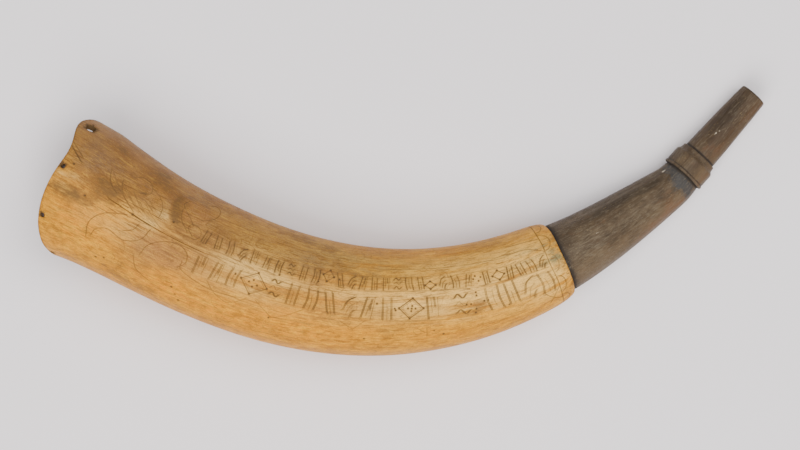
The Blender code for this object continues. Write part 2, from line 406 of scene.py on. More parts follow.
def beside(cut, offset):
    """The line that runs beside a cut at this distance, on its left if above 0."""
    line, scale = cut["line"], flat_scale(cut["line"])
    along = np.gradient(line * scale, axis=0)
    along /= np.maximum(np.hypot(along[:, :1], along[:, 1:]), 1e-9)
    normal = np.stack((-along[:, 1], along[:, 0]), -1)
    return line + offset * normal / scale


def dot(s, angle_deg, radius=0.5, depth=0.4, ink=1.0):
    """One drilled dot: its middle, radius, depth and how dark it is."""
    middle = np.array((s, np.radians(angle_deg)))
    return {"middle": middle, "radius": radius, "depth": depth, "ink": ink}


# The two engraved rows: stations, angles of the middle in degrees, and heights
ROW_STATIONS = (60, 100, 140, 175, 190, 206, 222, 241)
SMALL_ROW_ANGLES = (69.5, 69.9, 69.8, 69.4, 72, 76, 79.3, 83.6)
SMALL_ROW_HEIGHTS = (6, 6.3, 6.3, 6.3, 6.4, 6, 6.2, 6.2)
LARGE_ROW_ANGLES = (97.5, 92, 94.9, 98, 100.5, 103.4, 104.8, 112)
LARGE_ROW_HEIGHTS = (8.6, 9.2, 10.2, 10.4, 11, 11.6, 11.4, 11)

# Groups of strokes in each row: first station, last station and how many marks
SMALL_GROUPS = ((62.5, 123, 10), (136, 178, 8), (189, 202, 3), (211, 211, 1), (223, 239.5, 4))
LARGE_GROUPS = ((65.5, 82.5, 3), (104, 160.5, 7), (182.5, 196.5, 2), (212, 238, 4))

# Marks of the rows: unjoined strokes in a box one high and one wide, in fans, hatches and waves
MARKS = (
    (((-0.36, -0.5), (-0.2, 0.5)), ((-0.08, -0.5), (0.02, 0.14)), ((0.2, -0.5), (0.36, 0.5))),
    (
        ((-0.3, 0.5), (-0.37, 0), (-0.3, -0.5)), ((0.02, 0.32), (-0.03, 0), (0.02, -0.32)),
        ((0.36, 0.5), (0.29, 0), (0.36, -0.5)),
    ),
    (((-0.16, -0.5), (-0.38, 0.5)), ((0.1, -0.5), (-0.02, 0.06)), ((0.38, -0.44), (0.16, 0.5))),
    (
        ((-0.38, 0.34), (-0.16, 0.5), (0.1, 0.3), (0.36, 0.46)),
        ((-0.38, 0.02), (-0.14, 0.16), (0.12, -0.04), (0.36, 0.12)),
        ((-0.36, -0.34), (-0.12, -0.2), (0.14, -0.42), (0.38, -0.28)),
    ),
    (
        ((-0.36, 0.5), (-0.3, -0.5)), ((-0.1, 0.5), (-0.05, -0.16)), ((0.12, 0.5), (0.16, 0.1)),
        ((0.36, 0.5), (0.34, -0.4)),
    ),
    (
        ((-0.34, 0.5), (-0.25, 0), (-0.34, -0.5)), ((-0.02, 0.2), (0.05, -0.16), (0, -0.5)),
        ((0.3, 0.5), (0.39, 0), (0.3, -0.5)),
    ),
    (
        ((-0.12, 0.5), (-0.36, -0.5)), ((0.08, 0.2), (-0.06, -0.34)), ((0.22, 0.44), (0.12, -0.06)),
        ((0.4, 0.5), (0.22, -0.5)),
    ),
    (
        ((0.36, 0.5), (-0.1, 0.26), (-0.36, -0.2)), ((0.38, 0.16), (0.06, -0.02), (-0.14, -0.4)),
        ((0.38, -0.16), (0.22, -0.28), (0.12, -0.5)),
    ),
)

# Width of a mark over its height, a thin stroke over a thick one, and the order of the marks
MARK_WIDTH = 0.76
THIN_SHARE = 0.75
MARK_ORDER = (0, 2, 5, 7, 4, 6, 1, 3, 0, 5, 2, 7, 6, 0, 4, 3, 1, 2, 7, 5, 6, 0)


def row_place(angles, heights, x, y):
    """Station and angle in degrees of a place in a row: x along it, y up in row heights."""
    middle = np.interp(x, ROW_STATIONS, angles)
    height = np.interp(x, ROW_STATIONS, heights)
    return x, middle - np.degrees(y * height / body_width(x))


def row_of_marks(angles, heights, groups, width, depth, ink, first, double, smear):
    """Marks set out evenly in each group, in a fixed order, thick and thin strokes in turn.
    Each varies a little in height and lean; a thick one may be two fine cuts side by side."""
    cuts = []
    places = np.concatenate([np.linspace(*group) for group in groups])
    for chosen, x in enumerate(places, first):
        lean = 0.13 * np.sin(2.3 * chosen)
        tall = np.interp(x, ROW_STATIONS, heights) * (0.96 + 0.07 * np.sin(1.7 * chosen))
        for k, shape in enumerate(MARKS[MARK_ORDER[chosen % len(MARK_ORDER)]]):
            bold = k % 2 == 0
            share = 1.0 if bold else THIN_SHARE
            taller = 1 + 0.06 * np.sin(5 * k + chosen)
            for aside in (-double, double) if bold and double else (0.0,):
                spots = []
                for u, v in shape:
                    along = x + aside + MARK_WIDTH * tall * (u + lean * v)
                    spots.append(row_place(angles, heights, along, v * taller))
                cuts.append(stroke(spots, width * share, depth * share, ink * share, smear=smear))
    return cuts


def diamond(s, angle_deg, half_length, half_height, slant, width, depth, ink):
    """Four straight cuts round a middle, with a drilled dot at each corner."""
    tall = np.degrees(half_height / body_width(s))
    corners = (
        (s + slant, angle_deg - tall),
        (s + half_length, angle_deg + 0.1 * tall),
        (s - slant, angle_deg + tall),
        (s - half_length, angle_deg - 0.1 * tall),
    )
    sides = zip(corners, corners[1:] + corners[:1])
    cuts = [stroke(side, width, depth, ink, curved=False) for side in sides]
    return cuts, [dot(*corner) for corner in corners]


# Curves of the scroll work at the mouth, as (station, angle in degrees)
SCROLLS = (
    ((13.5, 121), (12.2, 108.6), (14.3, 98.1), (18.7, 90.9), (24.8, 85.6)),
    ((15.2, 117.5), (16.2, 110.1), (20.6, 105), (28.5, 107.4), (35.2, 99.7), (37.2, 87.5)),
    ((27, 99.5), (30.5, 94.5), (31.5, 88.3)),
    ((38.1, 112), (39.6, 100.4), (44.9, 91.3), (51.6, 87.2), (57, 90.6), (58.8, 99.6), (56.4, 106.5)),
    ((57, 101), (57.4, 106.5), (63, 110.6), (74.6, 114.2), (87, 112.3)),
    ((9.6, 58), (10.7, 63.5), (12.9, 69), (16.7, 73.3)),
    ((16, 59.5), (17.2, 66), (20.1, 72.5), (26.7, 80.2)),
    ((27.5, 49.5), (33.5, 55), (37.2, 62.5), (38, 72.5)),
    ((46, 54.5), (47.5, 64), (52.5, 72.5)),
    ((55.8, 74.5), (52.6, 69), (53.6, 64), (57.1, 64), (59.6, 69.3), (58.4, 75.5), (55.2, 77)),
    ((36, 117), (39.5, 128), (46.5, 134)),
    ((57.6, 34), (60.3, 30.6), (63.4, 34.7), (63.6, 43.1), (61, 50.9), (57.6, 55.3)),
    ((19.5, 50.3), (23.7, 45.3), (28.2, 48.9), (29.2, 57.3), (25, 62)),
    ((46.9, 42.4), (45.5, 49), (47.8, 53.8), (51.8, 60.2), (54.1, 64.6)),
)
PENDANTS = (
    ((71.6, 107.2), (76.5, 115.5), (82.9, 121.1)),
    ((82.9, 121.1), (87, 118), (91.7, 110.5)),
    ((96.4, 108.3), (102, 116), (106.2, 122.2)),
    ((106.2, 122.2), (112, 116.2), (119.5, 106)),
    ((138.7, 112), (144.6, 119.8)),
    ((144.6, 119.8), (150, 109.4)),
    ((174.5, 120.6), (177.7, 126.8)),
    ((178.8, 122.6), (178.6, 131.4)),
)
BORDER_LINES = (
    ((226, 43.6), (234, 46), (243.2, 49.6)),
    ((225, 57), (235, 58.6), (243.4, 71.5)),
    ((236.8, 145.8), (240.5, 132.4), (243, 125)),
    ((236, 128), (239, 138), (243, 147)),
)
GUIDE_LINES = (
    ((146, 62.2), (167, 61.8), (189, 63.2)),
    ((149, 77.9), (167, 77.8), (187, 80.2), (202, 84.4)),
    ((205, 66.5), (222, 70), (243, 72.8)),
    ((208, 85), (224, 88.4), (241, 92.5)),
    ((164, 109.4), (178, 112.1), (190, 115)),
    ((150, 52), (180, 52.5), (216, 57)),
)

# Line work: its lines, then the width, depth and darkness of their cuts
LINE_WORK = (
    (SCROLLS, 0.36, 0.11, 0.75), (PENDANTS, 0.34, 0.10, 0.65),
    (BORDER_LINES, 0.36, 0.10, 0.8), (GUIDE_LINES, 0.32, 0.06, 0.65),
)

# Diamonds: middle, half length, half height and slant, then width, depth and darkness
DIAMONDS = (
    (129.5, 66.8, 2.9, 3, 0.6, 0.4, 0.12, 0.9), (182.7, 73.1, 2.7, 2, 0.1, 0.42, 0.12, 1.1),
    (217.1, 78.2, 3, 2.5, 0, 0.42, 0.12, 1.1), (93.2, 93.3, 6.9, 5.7, 0.6, 0.46, 0.14, 0.9),
    (172.2, 96.8, 5.9, 5, 1.1, 0.5, 0.14, 1),
)
INNER_DIAMONDS = (
    (93.2, 93.3, 5.6, 4.6, 0.5, 0.3, 0.08, 0.55), (172.2, 96.8, 4.8, 4, 0.9, 0.3, 0.08, 0.55),
)
DOT_RADIUS = 0.42
DOTS = (
    (135.4, 68.6), (124.6, 74.6), (205.7, 71.6), (204.5, 74.8), (206.9, 78.4), (208.3, 74.4),
    (92.6, 90.2), (90.6, 93), (92.8, 96.8), (95, 94.2), (172.7, 94.2), (170.6, 96.6), (172.4, 97),
    (174.2, 97.3), (172.1, 99.8), (164.2, 96), (164.6, 98), (204.1, 90.6), (204.1, 94.4),
    (198.6, 102.4), (200.7, 103), (207.1, 103.2), (209, 103.8), (202.7, 110.2), (202.1, 114.6),
    (83, 90.6), (105, 122.8),
)

# Flicks by the long crack, the border before the step, and how far dirt smears beside a cut
FLICKS = 10
BORDER_STATION = 243.3
BORDER_SEAM_DEG = 2.0
SCALLOPS = 11
SCALLOP_REACH = 4.0
SCALLOP_GAP_DEG = 3.0
SMEAR_REACH = 1.8

# Damage: cracks and scratches as line, width, depth and darkness; pits as place and radius
CRACKS = (
    (((14.5, 80.6), (24, 82.2), (35.8, 83.6), (50, 84.3), (63.8, 84)), 0.36, 0.3, 0.75),
    (((27.2, 82.6), (31, 83.3), (36.4, 83.7)), 0.6, 0.35, 1),
    (((63.8, 84), (70, 83.2), (76, 84.2)), 0.3, 0.15, 0.4),
    (((-11.7, 57.1), (-8.6, 60.4), (-3.3, 65.3)), 0.55, 0.22, 1.1),
    (((-12.4, 53.6), (-8, 57.2), (-4, 61)), 0.45, 0.16, 0.9),
    (((29, 66), (34, 70.8)), 0.35, 0.14, 0.7),
    (((31, 64.6), (35.2, 69)), 0.3, 0.12, 0.5),
    (((100, 128), (116, 131), (131, 129.5)), 0.3, 0.1, 0.3),
    (((60, 142), (68, 137), (75, 136)), 0.35, 0.12, 0.45),
    (((84, 38), (104, 40), (128, 44)), 0.3, 0.1, 0.35),
    (((196, 136), (214, 133), (233, 137)), 0.3, 0.1, 0.3),
)
PITS = (
    (-5.5, 70.4, 0.5), (5.9, 88.9, 0.45), (27, 82.7, 0.6), (20.9, 138.2, 0.5), (24.4, 134.2, 0.4),
    (45, 70.3, 0.55), (57.6, 129.1, 0.5), (63.1, 142.4, 0.55), (60.5, 136, 0.35), (104.2, 77.6, 0.5),
    (150.2, 131.5, 0.45), (186, 133.8, 0.5), (182, 126.5, 0.35), (155.5, 90.8, 0.5), (218, 118, 0.4),
    (129, 213, 0.5), (60, 240, 0.6), (201, 251, 0.5), (90, 318, 0.5), (170, 338, 0.6),
)


def engraving():
    """Every cut and every dot on the body, from the rim to the step."""
    cuts = row_of_marks(
        SMALL_ROW_ANGLES, SMALL_ROW_HEIGHTS, SMALL_GROUPS,
        width=0.50, depth=0.14, ink=1.20, first=0, double=0.0, smear=0.34,
    )
    cuts += row_of_marks(
        LARGE_ROW_ANGLES, LARGE_ROW_HEIGHTS, LARGE_GROUPS,
        width=0.34, depth=0.13, ink=1.10, first=4, double=0.27, smear=0.20,
    )
    dots = []
    for shape in DIAMONDS:
        sides, corners = diamond(*shape)
        cuts += sides
        dots += corners
    dots += [dot(s, angle, DOT_RADIUS) for s, angle in DOTS]
    for shape in INNER_DIAMONDS:
        cuts += diamond(*shape)[0]
    cuts += [stroke(line, *cut) for lines, *cut in LINE_WORK for line in lines]
    cuts += [stroke(line, *cut) for line, *cut in CRACKS]
    cuts += flicks() + border()
    dots += [dot(s, angle, radius, 0.8 * radius, 0.9) for s, angle, radius in PITS]
    return cuts, dots


def flicks():
    """Short curved flicks side by side along the long crack, each a little further on, with
    sines to make them uneven."""
    cuts = []
    for k in range(FLICKS):
        start, drop = 8.0 + 2.4 * k, 58.0 + 1.3 * k + 2.0 * np.sin(4.0 * k)
        end = (start + 11.0, drop + 13.0 + 2.0 * np.sin(7.0 * k))
        cuts.append(stroke(((start, drop), (start + 5.0, drop + 7.5), end), 0.3, 0.06, 0.55))
    return cuts


def border():
    """The line round the body before the step, swaying by two sines and open at the seam, and
    its row of scallops, each half a sine over a cosine's turn."""
    turn = np.linspace(BORDER_SEAM_DEG - 90, 270 - BORDER_SEAM_DEG, 61)
    sway = 0.25 * np.sin(np.radians(3 * turn)) + 0.15 * np.sin(np.radians(7 * turn))
    cuts = [stroke(np.stack((BORDER_STATION + sway, turn), -1), 0.42, 0.18, 0.9)]
    share = 360 / SCALLOPS
    swing = np.linspace(0, np.pi, 7)
    for k in range(SCALLOPS):
        low, high = k * share - 90 + SCALLOP_GAP_DEG, (k + 1) * share - 90 - SCALLOP_GAP_DEG
        reach = SCALLOP_REACH * np.sin(swing) * (0.9 + 0.1 * np.sin(5.0 * k))
        turn = (low + high) / 2 - (high - low) / 2 * np.cos(swing)
        cuts.append(stroke(np.stack((BORDER_STATION + 0.6 + reach, turn), -1), 0.38, 0.11, 0.85))
    return cuts


# ---------------------------------------------------------------- the flat pattern


def off_line(points, line, scale):
    """Distance of each point from a line of short straight runs, in scaled flat lengths."""
    start, gap = line[:-1] * scale, np.diff(line, axis=0) * scale
    away = points[:, None] * scale - start
    share = np.clip((away * gap).sum(-1) / np.maximum((gap**2).sum(-1), 1e-12), 0, 1)
    return np.sqrt(((away - share[..., None] * gap) ** 2).sum(-1)).min(axis=1)


def near(points, line, scale, reach):
    """Numbers of the points inside the line's own box, widened by reach."""
    flat = line * scale
    inside = (points * scale > flat.min(0) - reach) & (points * scale < flat.max(0) + reach)
    return np.flatnonzero(inside.all(axis=1))


def cut_pattern(stations, edge, cuts, dots, holes):
    """Triangles over a stretch of skin.  Rows of grid points fill it, with room left along
    each cut for its own five lines and round each dot for its own rings.  The triangles keep
    to those lines, and none is left inside a hole.  Gives (station, angle) points, triangles."""
    angles = np.linspace(-np.pi / 2, 3 * np.pi / 2, COLUMNS + 1)
    s = slanted(stations, np.append(edge, edge[:1]))
    grid = np.stack(np.broadcast_arrays(s, angles), -1).reshape(-1, 2)
    numbers = np.arange(len(grid)).reshape(s.shape)
    border = np.concatenate((numbers[0], numbers[1:, -1], numbers[-1, -2::-1], numbers[-2:0:-1, 0]))
    keep = np.ones(len(grid), bool)
    lines, spots = [], []
    for cut in cuts:
        scale = flat_scale(cut["line"])
        room = 2 * cut["half"] + 0.3 * ROW_SPACING
        close = near(grid, cut["line"], scale, room)
        keep[close] &= off_line(grid[close], cut["line"], scale) > room
        lines += [beside(cut, side * cut["half"]) for side in (-2, -1, 0, 1, 2)]
    for mark in dots:
        middle = mark["middle"][None]
        keep &= off_middle(grid, mark["middle"]) > 2.6 * mark["radius"]
        spots.append(middle)
        for size, count in DOT_RINGS:
            turn = np.arange(count) * TURN / count
            ring = size * mark["radius"] * np.stack((np.cos(turn), np.sin(turn)), -1)
            spots.append(middle + ring / flat_scale(middle))
    for hole in holes:
        middle = hole.mean(0)
        reach = off_middle(hole, middle).max()
        keep &= off_middle(grid, middle) > reach + 0.3 * ROW_SPACING
        lines.append(np.vstack((hole, hole[:1])))
    keep[border] = True
    border = (np.cumsum(keep) - 1)[border]
    parts, links = [grid[keep]], [np.stack((border, np.roll(border, -1)), -1)]
    count = len(parts[0])
    for line in lines:
        first = np.arange(len(line) - 1) + count
        links.append(np.stack((first, first + 1), -1))
        parts.append(line)
        count += len(line)
    flat = np.vstack(parts + spots) * (1.0, PATTERN_WIDTH)
    made = delaunay_2d_cdt(flat.tolist(), np.vstack(links).tolist(), [], 1, 1e-3)
    points = np.array(made[0]) / (1.0, PATTERN_WIDTH)
    faces = np.array(made[2])
    for k in range(len(holes)):
        first = count - (len(holes) - k) * (RING_POINTS + 1)
        last = first + RING_POINTS
        on_ring = np.array([any(first <= i <= last for i in source) for source in made[3]])
        faces = faces[~on_ring[faces].all(axis=1)]
    return points, faces


def carve(points, cuts, dots):
    """Depth and darkness at each (station, angle): each cut is a V, each dot a small cone."""
    depth, ink = np.zeros(len(points)), np.zeros(len(points))
    worn = 0.78 + 0.22 * lumps(straightened(points[:, 0], points[:, 1], BODY_HALF_WIDTH), 6.0, 11)
    for cut in cuts:
        scale = flat_scale(cut["line"])
        close = near(points, cut["line"], scale, SMEAR_REACH)
        away = off_line(points[close], cut["line"], scale)
        share = away / cut["half"]
        depth[close] = np.maximum(depth[close], cut["depth"] * np.clip(1 - share, 0, 1))
        for dark, fade in ((cut["ink"], 1.6 - share), (cut["smear"], 1 - away / SMEAR_REACH)):
            ink[close] = np.maximum(ink[close], dark * worn[close] * np.clip(fade, 0, 1))
    for mark in dots:
        share = off_middle(points, mark["middle"]) / mark["radius"]
        depth = np.maximum(depth, mark["depth"] * np.clip(1.2 - share, 0, 1))
        ink = np.maximum(ink, mark["ink"] * np.clip(1.7 - share, 0, 1))
    return depth, np.clip(1.15 * ink, 0, 1)


# ---------------------------------------------------------------- colour areas


# Soft areas that each colour effect keeps to: station and angle of the middle, length, height
# and weight
AREAS = {
    # Stains; the one at station 40 and angle 148 darkens the lower edge and is painted shade
    "stain_and_shade": (
        (2, 91, 10, 4, 0.85), (13, 77, 8, 6, 0.8), (17, 68, 6, 6, 0.75), (43.7, 55.8, 2.3, 5.4, 3),
        (27.4, 59.6, 1.6, 1.8, 1.2), (46, 48, 3.6, 3.6, 1), (46.5, 69, 4, 2.6, 0.7),
        (54, 47, 8, 5, 0.5), (35, 44, 7, 5, 0.7), (111.4, 25.9, 12, 4, 0.8), (9.4, 72.3, 6, 5, 0.7),
        (-8, 95.4, 4, 2.2, 0.8), (2, 95, 7, 2.6, 0.7), (127.8, 33.7, 10, 4, 0.7),
        (202.2, 112.4, 5, 5, 0.6), (23.3, 62, 3, 3, 0.8), (288, 50, 24, 7, 1), (310, 57, 8, 6, 0.9),
        (362, 68, 16, 22, 0.7), (256, 72, 7, 14, 0.6), (372, 60, 14, 12, 0.6), (48.5, 66, 5, 4, 0.6),
        (51.5, 98, 7, 5.5, 0.7), (58, 78, 9, 4, 0.6), (24, 40, 16, 6, 0.6), (124, 60, 15, 4, 0.45),
        (146, 58, 14, 4, 0.45), (6.6, 31.7, 8, 5, 1), (30, 28, 9, 4, 0.9), (66, 72, 16, 5, 0.45),
        (72, 100, 10, 5, 0.4), (92, 120, 12, 4, 0.5), (158, 124, 12, 5, 0.45), (126, 108, 10, 5, 0.45),
        (34, 128, 5, 6, 0.45), (205, 108, 5, 5, 0.45), (0, 128, 5, 14, 0.35), (80, 56, 18, 5, 0.45),
        (40, 148, 22, 5, 0.6), (70, 20, 40, 10, 0.5), (30, 230, 26, 14, 0.5), (120, 300, 40, 12, 0.5),
        (190, 240, 30, 10, 0.4),
    ),
    "shade": (
        (62, 70, 32, 13, 0.62), (56, 100, 20, 8, 0.42), (22, 60, 16, 9, 0.36), (0, 60, 12, 9, 0.75),
        (364, 80, 26, 60, 0.95), (120, 58, 18, 9, 0.6), (121, 79, 7, 4, 0.35), (2, 84, 10, 7, 0.3),
        (150, 100, 30, 6, 0.2), (49, 45, 10, 7, 0.62), (38, 112, 10, 12, 0.52),
    ),
    # Pale areas: chips, flakes and worn horn, with a broad painted highlight along the engraved top
    "pale": (
        (83, 80, 12, 3, 0.9), (100, 83, 18, 3.4, 0.9), (36, 82, 4, 2.2, 0.9), (180, 92, 45, 7, 0.55),
        (232, 66, 12, 2.6, 0.6), (206, 96, 38, 12, 1), (160, 86, 20, 4, 0.5), (-7, 84, 6, 1.6, 0.7),
        (236, 92, 14, 20, 1.2), (243, 116, 9, 8, 0.7), (203, 108, 12, 6, 0.7), (86, 93, 22, 9, 0.75),
        (95, 70, 16, 6, 0.55), (39.6, 67.5, 3.4, 4, 1.4), (140, 82, 20, 3, 0.5), (26, 98, 10, 6, 0.45),
        (30, 77, 9, 3, 0.5), (-1.6, 78.8, 3, 0.7, 1.4), (-8.8, 82.9, 3, 0.7, 0.9),
        (353.5, 77.7, 1, 2.3, 1.5), (356, 83, 0.7, 1.6, 0.9), (320.8, 38.1, 1.5, 1.8, 1.4),
        (258.6, 61.6, 2.2, 0.6, 0.95), (271.8, 81.7, 2.2, 0.8, 1), (300, 210, 2, 0.8, 1.2),
        (205, 50, 36, 12, 0.55), (10, 100, 9, 5, 0.25), (-4, 92, 5, 3, 0.6), (34, 91, 8, 5, 0.4),
    ),
    "green": (
        (247.5, 80, 3.8, 11, 1.1), (240, 63, 10, 1.6, 1), (243, 86, 8, 1.8, 1.1),
        (238, 98, 8, 0.9, 0.6), (235, 74, 8, 1, 0.6), (225, 57, 16, 1.2, 0.45), (142, 48, 44, 13, 0.5),
    ),
    "blue": (
        (322.8, 100, 4.6, 20, 1.2), (324, 55, 3.2, 22, 1.2), (324, 145, 3.2, 20, 1),
        (320, 250, 6, 20, 0.6),
    ),
    "red": (
        (50, 127, 16, 8, 1), (72, 133, 26, 7, 0.8), (112, 136, 34, 10, 0.8), (108, 119, 10, 4, 0.5),
        (9, 112, 14, 15, 1), (200, 140, 30, 8, 0.5), (306, 150, 20, 12, 0.9), (313, 128, 7, 14, 0.5),
        (348, 120, 7, 26, 0.7), (373, 150, 12, 24, 0.9), (334, 130, 3, 30, 0.7),
        (285, 170, 30, 10, 0.5), (350, 60, 5, 16, 0.3), (300, 260, 40, 25, 0.5),
    ),
    "crazed": (
        (258, 105, 10, 14, 0.8), (266, 140, 16, 10, 1), (280, 88, 14, 8, 0.7), (300, 110, 14, 12, 0.4),
        (320, 120, 5, 20, 0.6), (30, 72, 24, 13, 1), (-6, 70, 9, 9, 0.9), (100, 56, 60, 9, 0.7),
        (225, 66, 25, 10, 0.7), (130, 84, 60, 5, 0.5), (200, 320, 70, 20, 0.8), (60, 260, 50, 20, 0.8),
    ),
}

# Knots as middle, length and height; the darker inner side, partly the horn's tone and partly
# painted shade, which fades out along the horn, and the warm outer side, each from an edge in
# radians and over a spread
KNOTS = ((48.2, 102.9, 10.5, 6.2), (52, 50, 9.5, 6.5), (72, 215, 9, 6))
INNER_TONE_AND_SHADE_EDGE, INNER_TONE_AND_SHADE_SPREAD, INNER_TONE_AND_SHADE_LENGTH = np.radians(84), np.radians(60), 210.0
WARM_EDGE, WARM_SPREAD = np.radians(92), np.radians(45)


def from_middle(s, a, station, angle_deg):
    """How far each place lies from a middle, along the horn and round it, in mm."""
    return s - station, turned(a, np.radians(angle_deg)) * BODY_HALF_WIDTH


def areas(s, a, table):
    """Soft areas added up: each is its weight at its middle, fading over its length and height."""
    total = 0.0
    for station, angle_deg, length, height, weight in table:
        x, y = from_middle(s, a, station, angle_deg)
        total = total + weight * np.exp(-((x / length) ** 2 + (y / height) ** 2))
    return np.clip(total, 0, 1.5)


def knot_distance(s, a):
    """Distance from the middle of the nearest knot, counted in the knot's own size."""
    found = 3.0
    for station, angle_deg, length, height in KNOTS:
        x, y = from_middle(s, a, station, angle_deg)
        found = np.minimum(found, np.hypot(x / length, y / height))
    return found


# ---------------------------------------------------------------- building meshes


def clear_mesh(name, points, faces, kinds, values, materials, sharp_deg=40):
    """One welded mesh from points in mm: equal points joined, faces outward, smooth shading
    with crisp edges kept.  Values are named numbers, or threes, for each point."""
    mesh = bpy.data.meshes.new(name)
    mesh.from_pydata(np.asarray(points) * MM, [], faces)
    for key, value in values.items():
        shape, field = ("FLOAT_VECTOR", "vector") if np.ndim(value) == 2 else ("FLOAT", "value")
        attribute = mesh.attributes.new(key, shape, "POINT")
        attribute.data.foreach_set(field, np.ascontiguousarray(value, np.float32).ravel())
    for item in materials:
        mesh.materials.append(item)
    mesh.polygons.foreach_set("material_index", np.asarray(kinds, np.int32))
    bm = bmesh.new()
    bm.from_mesh(mesh)
    bmesh.ops.remove_doubles(bm, verts=bm.verts, dist=2e-6)
    bmesh.ops.recalc_face_normals(bm, faces=bm.faces)
    bm.to_mesh(mesh)
    bm.free()
    mesh.shade_smooth()
    mesh.set_sharp_from_angle(angle=np.radians(sharp_deg))
    result = bpy.data.objects.new(name, mesh)
    bpy.context.scene.collection.objects.link(result)
    return result


class Shell:
    """Points, faces and values gathered from several stretches of one skin."""

    def __init__(self):
        self.points, self.faces, self.kinds, self.values = [], [], [], []
        self.count = 0

    def add(self, points, faces, kind, values):
        """Take in one stretch; its faces count from its own first point."""
        points = np.asarray(points).reshape(-1, 3)
        rows = len(points)
        own = {key: np.asarray(value).reshape(rows, -1) for key, value in values.items()}
        self.points.append(points)
        self.values.append(own)
        self.faces += (np.asarray(faces) + self.count).tolist()
        self.kinds += [kind] * len(faces)
        self.count += rows

    def build(self, name, materials, sharp_deg=40):
        """The welded mesh of all stretches together."""
        joined = {key: np.vstack([v[key] for v in self.values]) for key in self.values[0]}
        flat = {key: value[:, 0] if value.shape[1] == 1 else value for key, value in joined.items()}
        points = np.vstack(self.points)
        return clear_mesh(name, points, self.faces, self.kinds, flat, materials, sharp_deg)


def grid_faces(rows, columns):
    """Four-sided faces between rows of points, each of which meets itself."""
    i, j = np.meshgrid(np.arange(rows - 1), np.arange(columns), indexing="ij")
    k = (j + 1) % columns
    corners = (i * columns + j, i * columns + k, (i + 1) * columns + k, (i + 1) * columns + j)
    return np.stack(corners, -1).reshape(-1, 4)


def horn_values(s, a, w, ink, grime_and_shade):
    """The numbers that the horn's materials read at each point."""
    s, a, w, ink, grime_and_shade = np.broadcast_arrays(s, a, w, ink, grime_and_shade)
    turn = from_seam(a)
    values = {name: areas(s, a, table) for name, table in AREAS.items()}
    values["straight"] = straightened(s, a, w)
    values["ink"] = ink
    values["grime_and_shade"] = grime_and_shade
    values["knot"] = knot_distance(s, a)
    # Darker inner side of the bend, fading along the horn: partly the horn's tone, partly painted
    # shade
    inner_side = smooth((INNER_TONE_AND_SHADE_EDGE - np.abs(turn)) / INNER_TONE_AND_SHADE_SPREAD)
    values["inner_tone_and_shade"] = inner_side * (1 - 0.95 * smooth(s / INNER_TONE_AND_SHADE_LENGTH))
    values["warm"] = smooth((turn - WARM_EDGE) / WARM_SPREAD)
    return values


# ---------------------------------------------------------------- the horn


def outside_point(s, a):
    """A point of the body's outside and the outward direction there."""
    s, a = np.asarray(s, float), np.asarray(a, float)
    _, across, up = directions(s)
    w, share = body_width(s), depth_share(s)
    normal = np.cos(a)[..., None] / w * across + np.sin(a)[..., None] / (w * share) * up
    return on_horn(s, a, w) + PLACE, normal / np.linalg.norm(normal)


def mouth_plane():
    """Middle of the slanted cut and the direction that it faces."""
    forward, _, up = directions(np.array(0.0))
    return PLACE.copy(), -np.cos(MOUTH_LEAN) * forward - np.sin(MOUTH_LEAN) * up


def pin_axes():
    """Each pin's point on the outside and its inward direction.  The point slides along the
    horn until it lies the inset behind the mouth's plane; the pin runs along that plane."""
    middle, facing = mouth_plane()
    axes = []
    for k in range(PIN_COUNT):
        a = FIRST_PIN_ANGLE + k * PIN_SPACING
        s = cut_station(a, body_width(0.0))
        for _ in range(20):
            point, _ = outside_point(s, a)
            s += (PIN_INSET - (middle - point).dot(facing)) / np.cos(MOUTH_LEAN)
        target = middle - facing * (middle - point).dot(facing)
        axes.append((point, (target - point) / np.linalg.norm(target - point)))
    return axes


def strap_axis():
    """The strap hole's point on the outside and its inward direction, square to the lobe."""
    s = cut_station(STRAP_HOLE_ANGLE, body_width(0.0)) - STRAP_HOLE_BEYOND
    point, outward = outside_point(s, STRAP_HOLE_ANGLE)
    inward = np.array((0, 0, STRAP_HOLE_LEVELLING)) - outward
    return point, inward / np.linalg.norm(inward)


def blend(first, second, t):
    """Steps from the first to the second, as t goes from 0 to 1."""
    return first * (1 - t) + second * t


def square_to(direction):
    """A level direction square to the given one."""
    side = np.cross(direction, (0.0, 0.0, 1.0))
    return side / np.linalg.norm(side)


def drilled(point, inward, radius, width):
    """Ring of (station, angle) where a drill of this radius meets the skin of this width:
    each point of the drill's circle slides along the drill until it is on the skin."""
    side = square_to(inward)
    turn = np.arange(RING_POINTS)[:, None] * TURN / RING_POINTS
    ring = point + radius * (np.cos(turn) * side + np.sin(turn) * np.cross(inward, side))
    slide = np.zeros(RING_POINTS)
    for _ in range(12):
        s, a, w = unwrap(ring + slide[:, None] * inward, np.zeros(RING_POINTS))
        slide += 0.8 * (w - width(s))
    return np.stack((s, from_seam(a)), -1)


def hole_wear(points, holes):
    """Depth and darkness round drilled holes: a funnel as deep as the square of what is left
    of its reach, and soot that fades evenly."""
    depth, ink = np.zeros(len(points)), np.zeros(len(points))
    for hole, reach, sunk in holes:
        middle = hole.mean(0)
        past = (off_middle(points, middle) - off_middle(hole, middle).mean()) / reach
        depth = np.maximum(depth, sunk * np.clip(1 - past, 0, 1) ** 2)
        ink = np.maximum(ink, 0.75 * np.clip(1 - 1.2 * past, 0, 1))
    return depth, ink
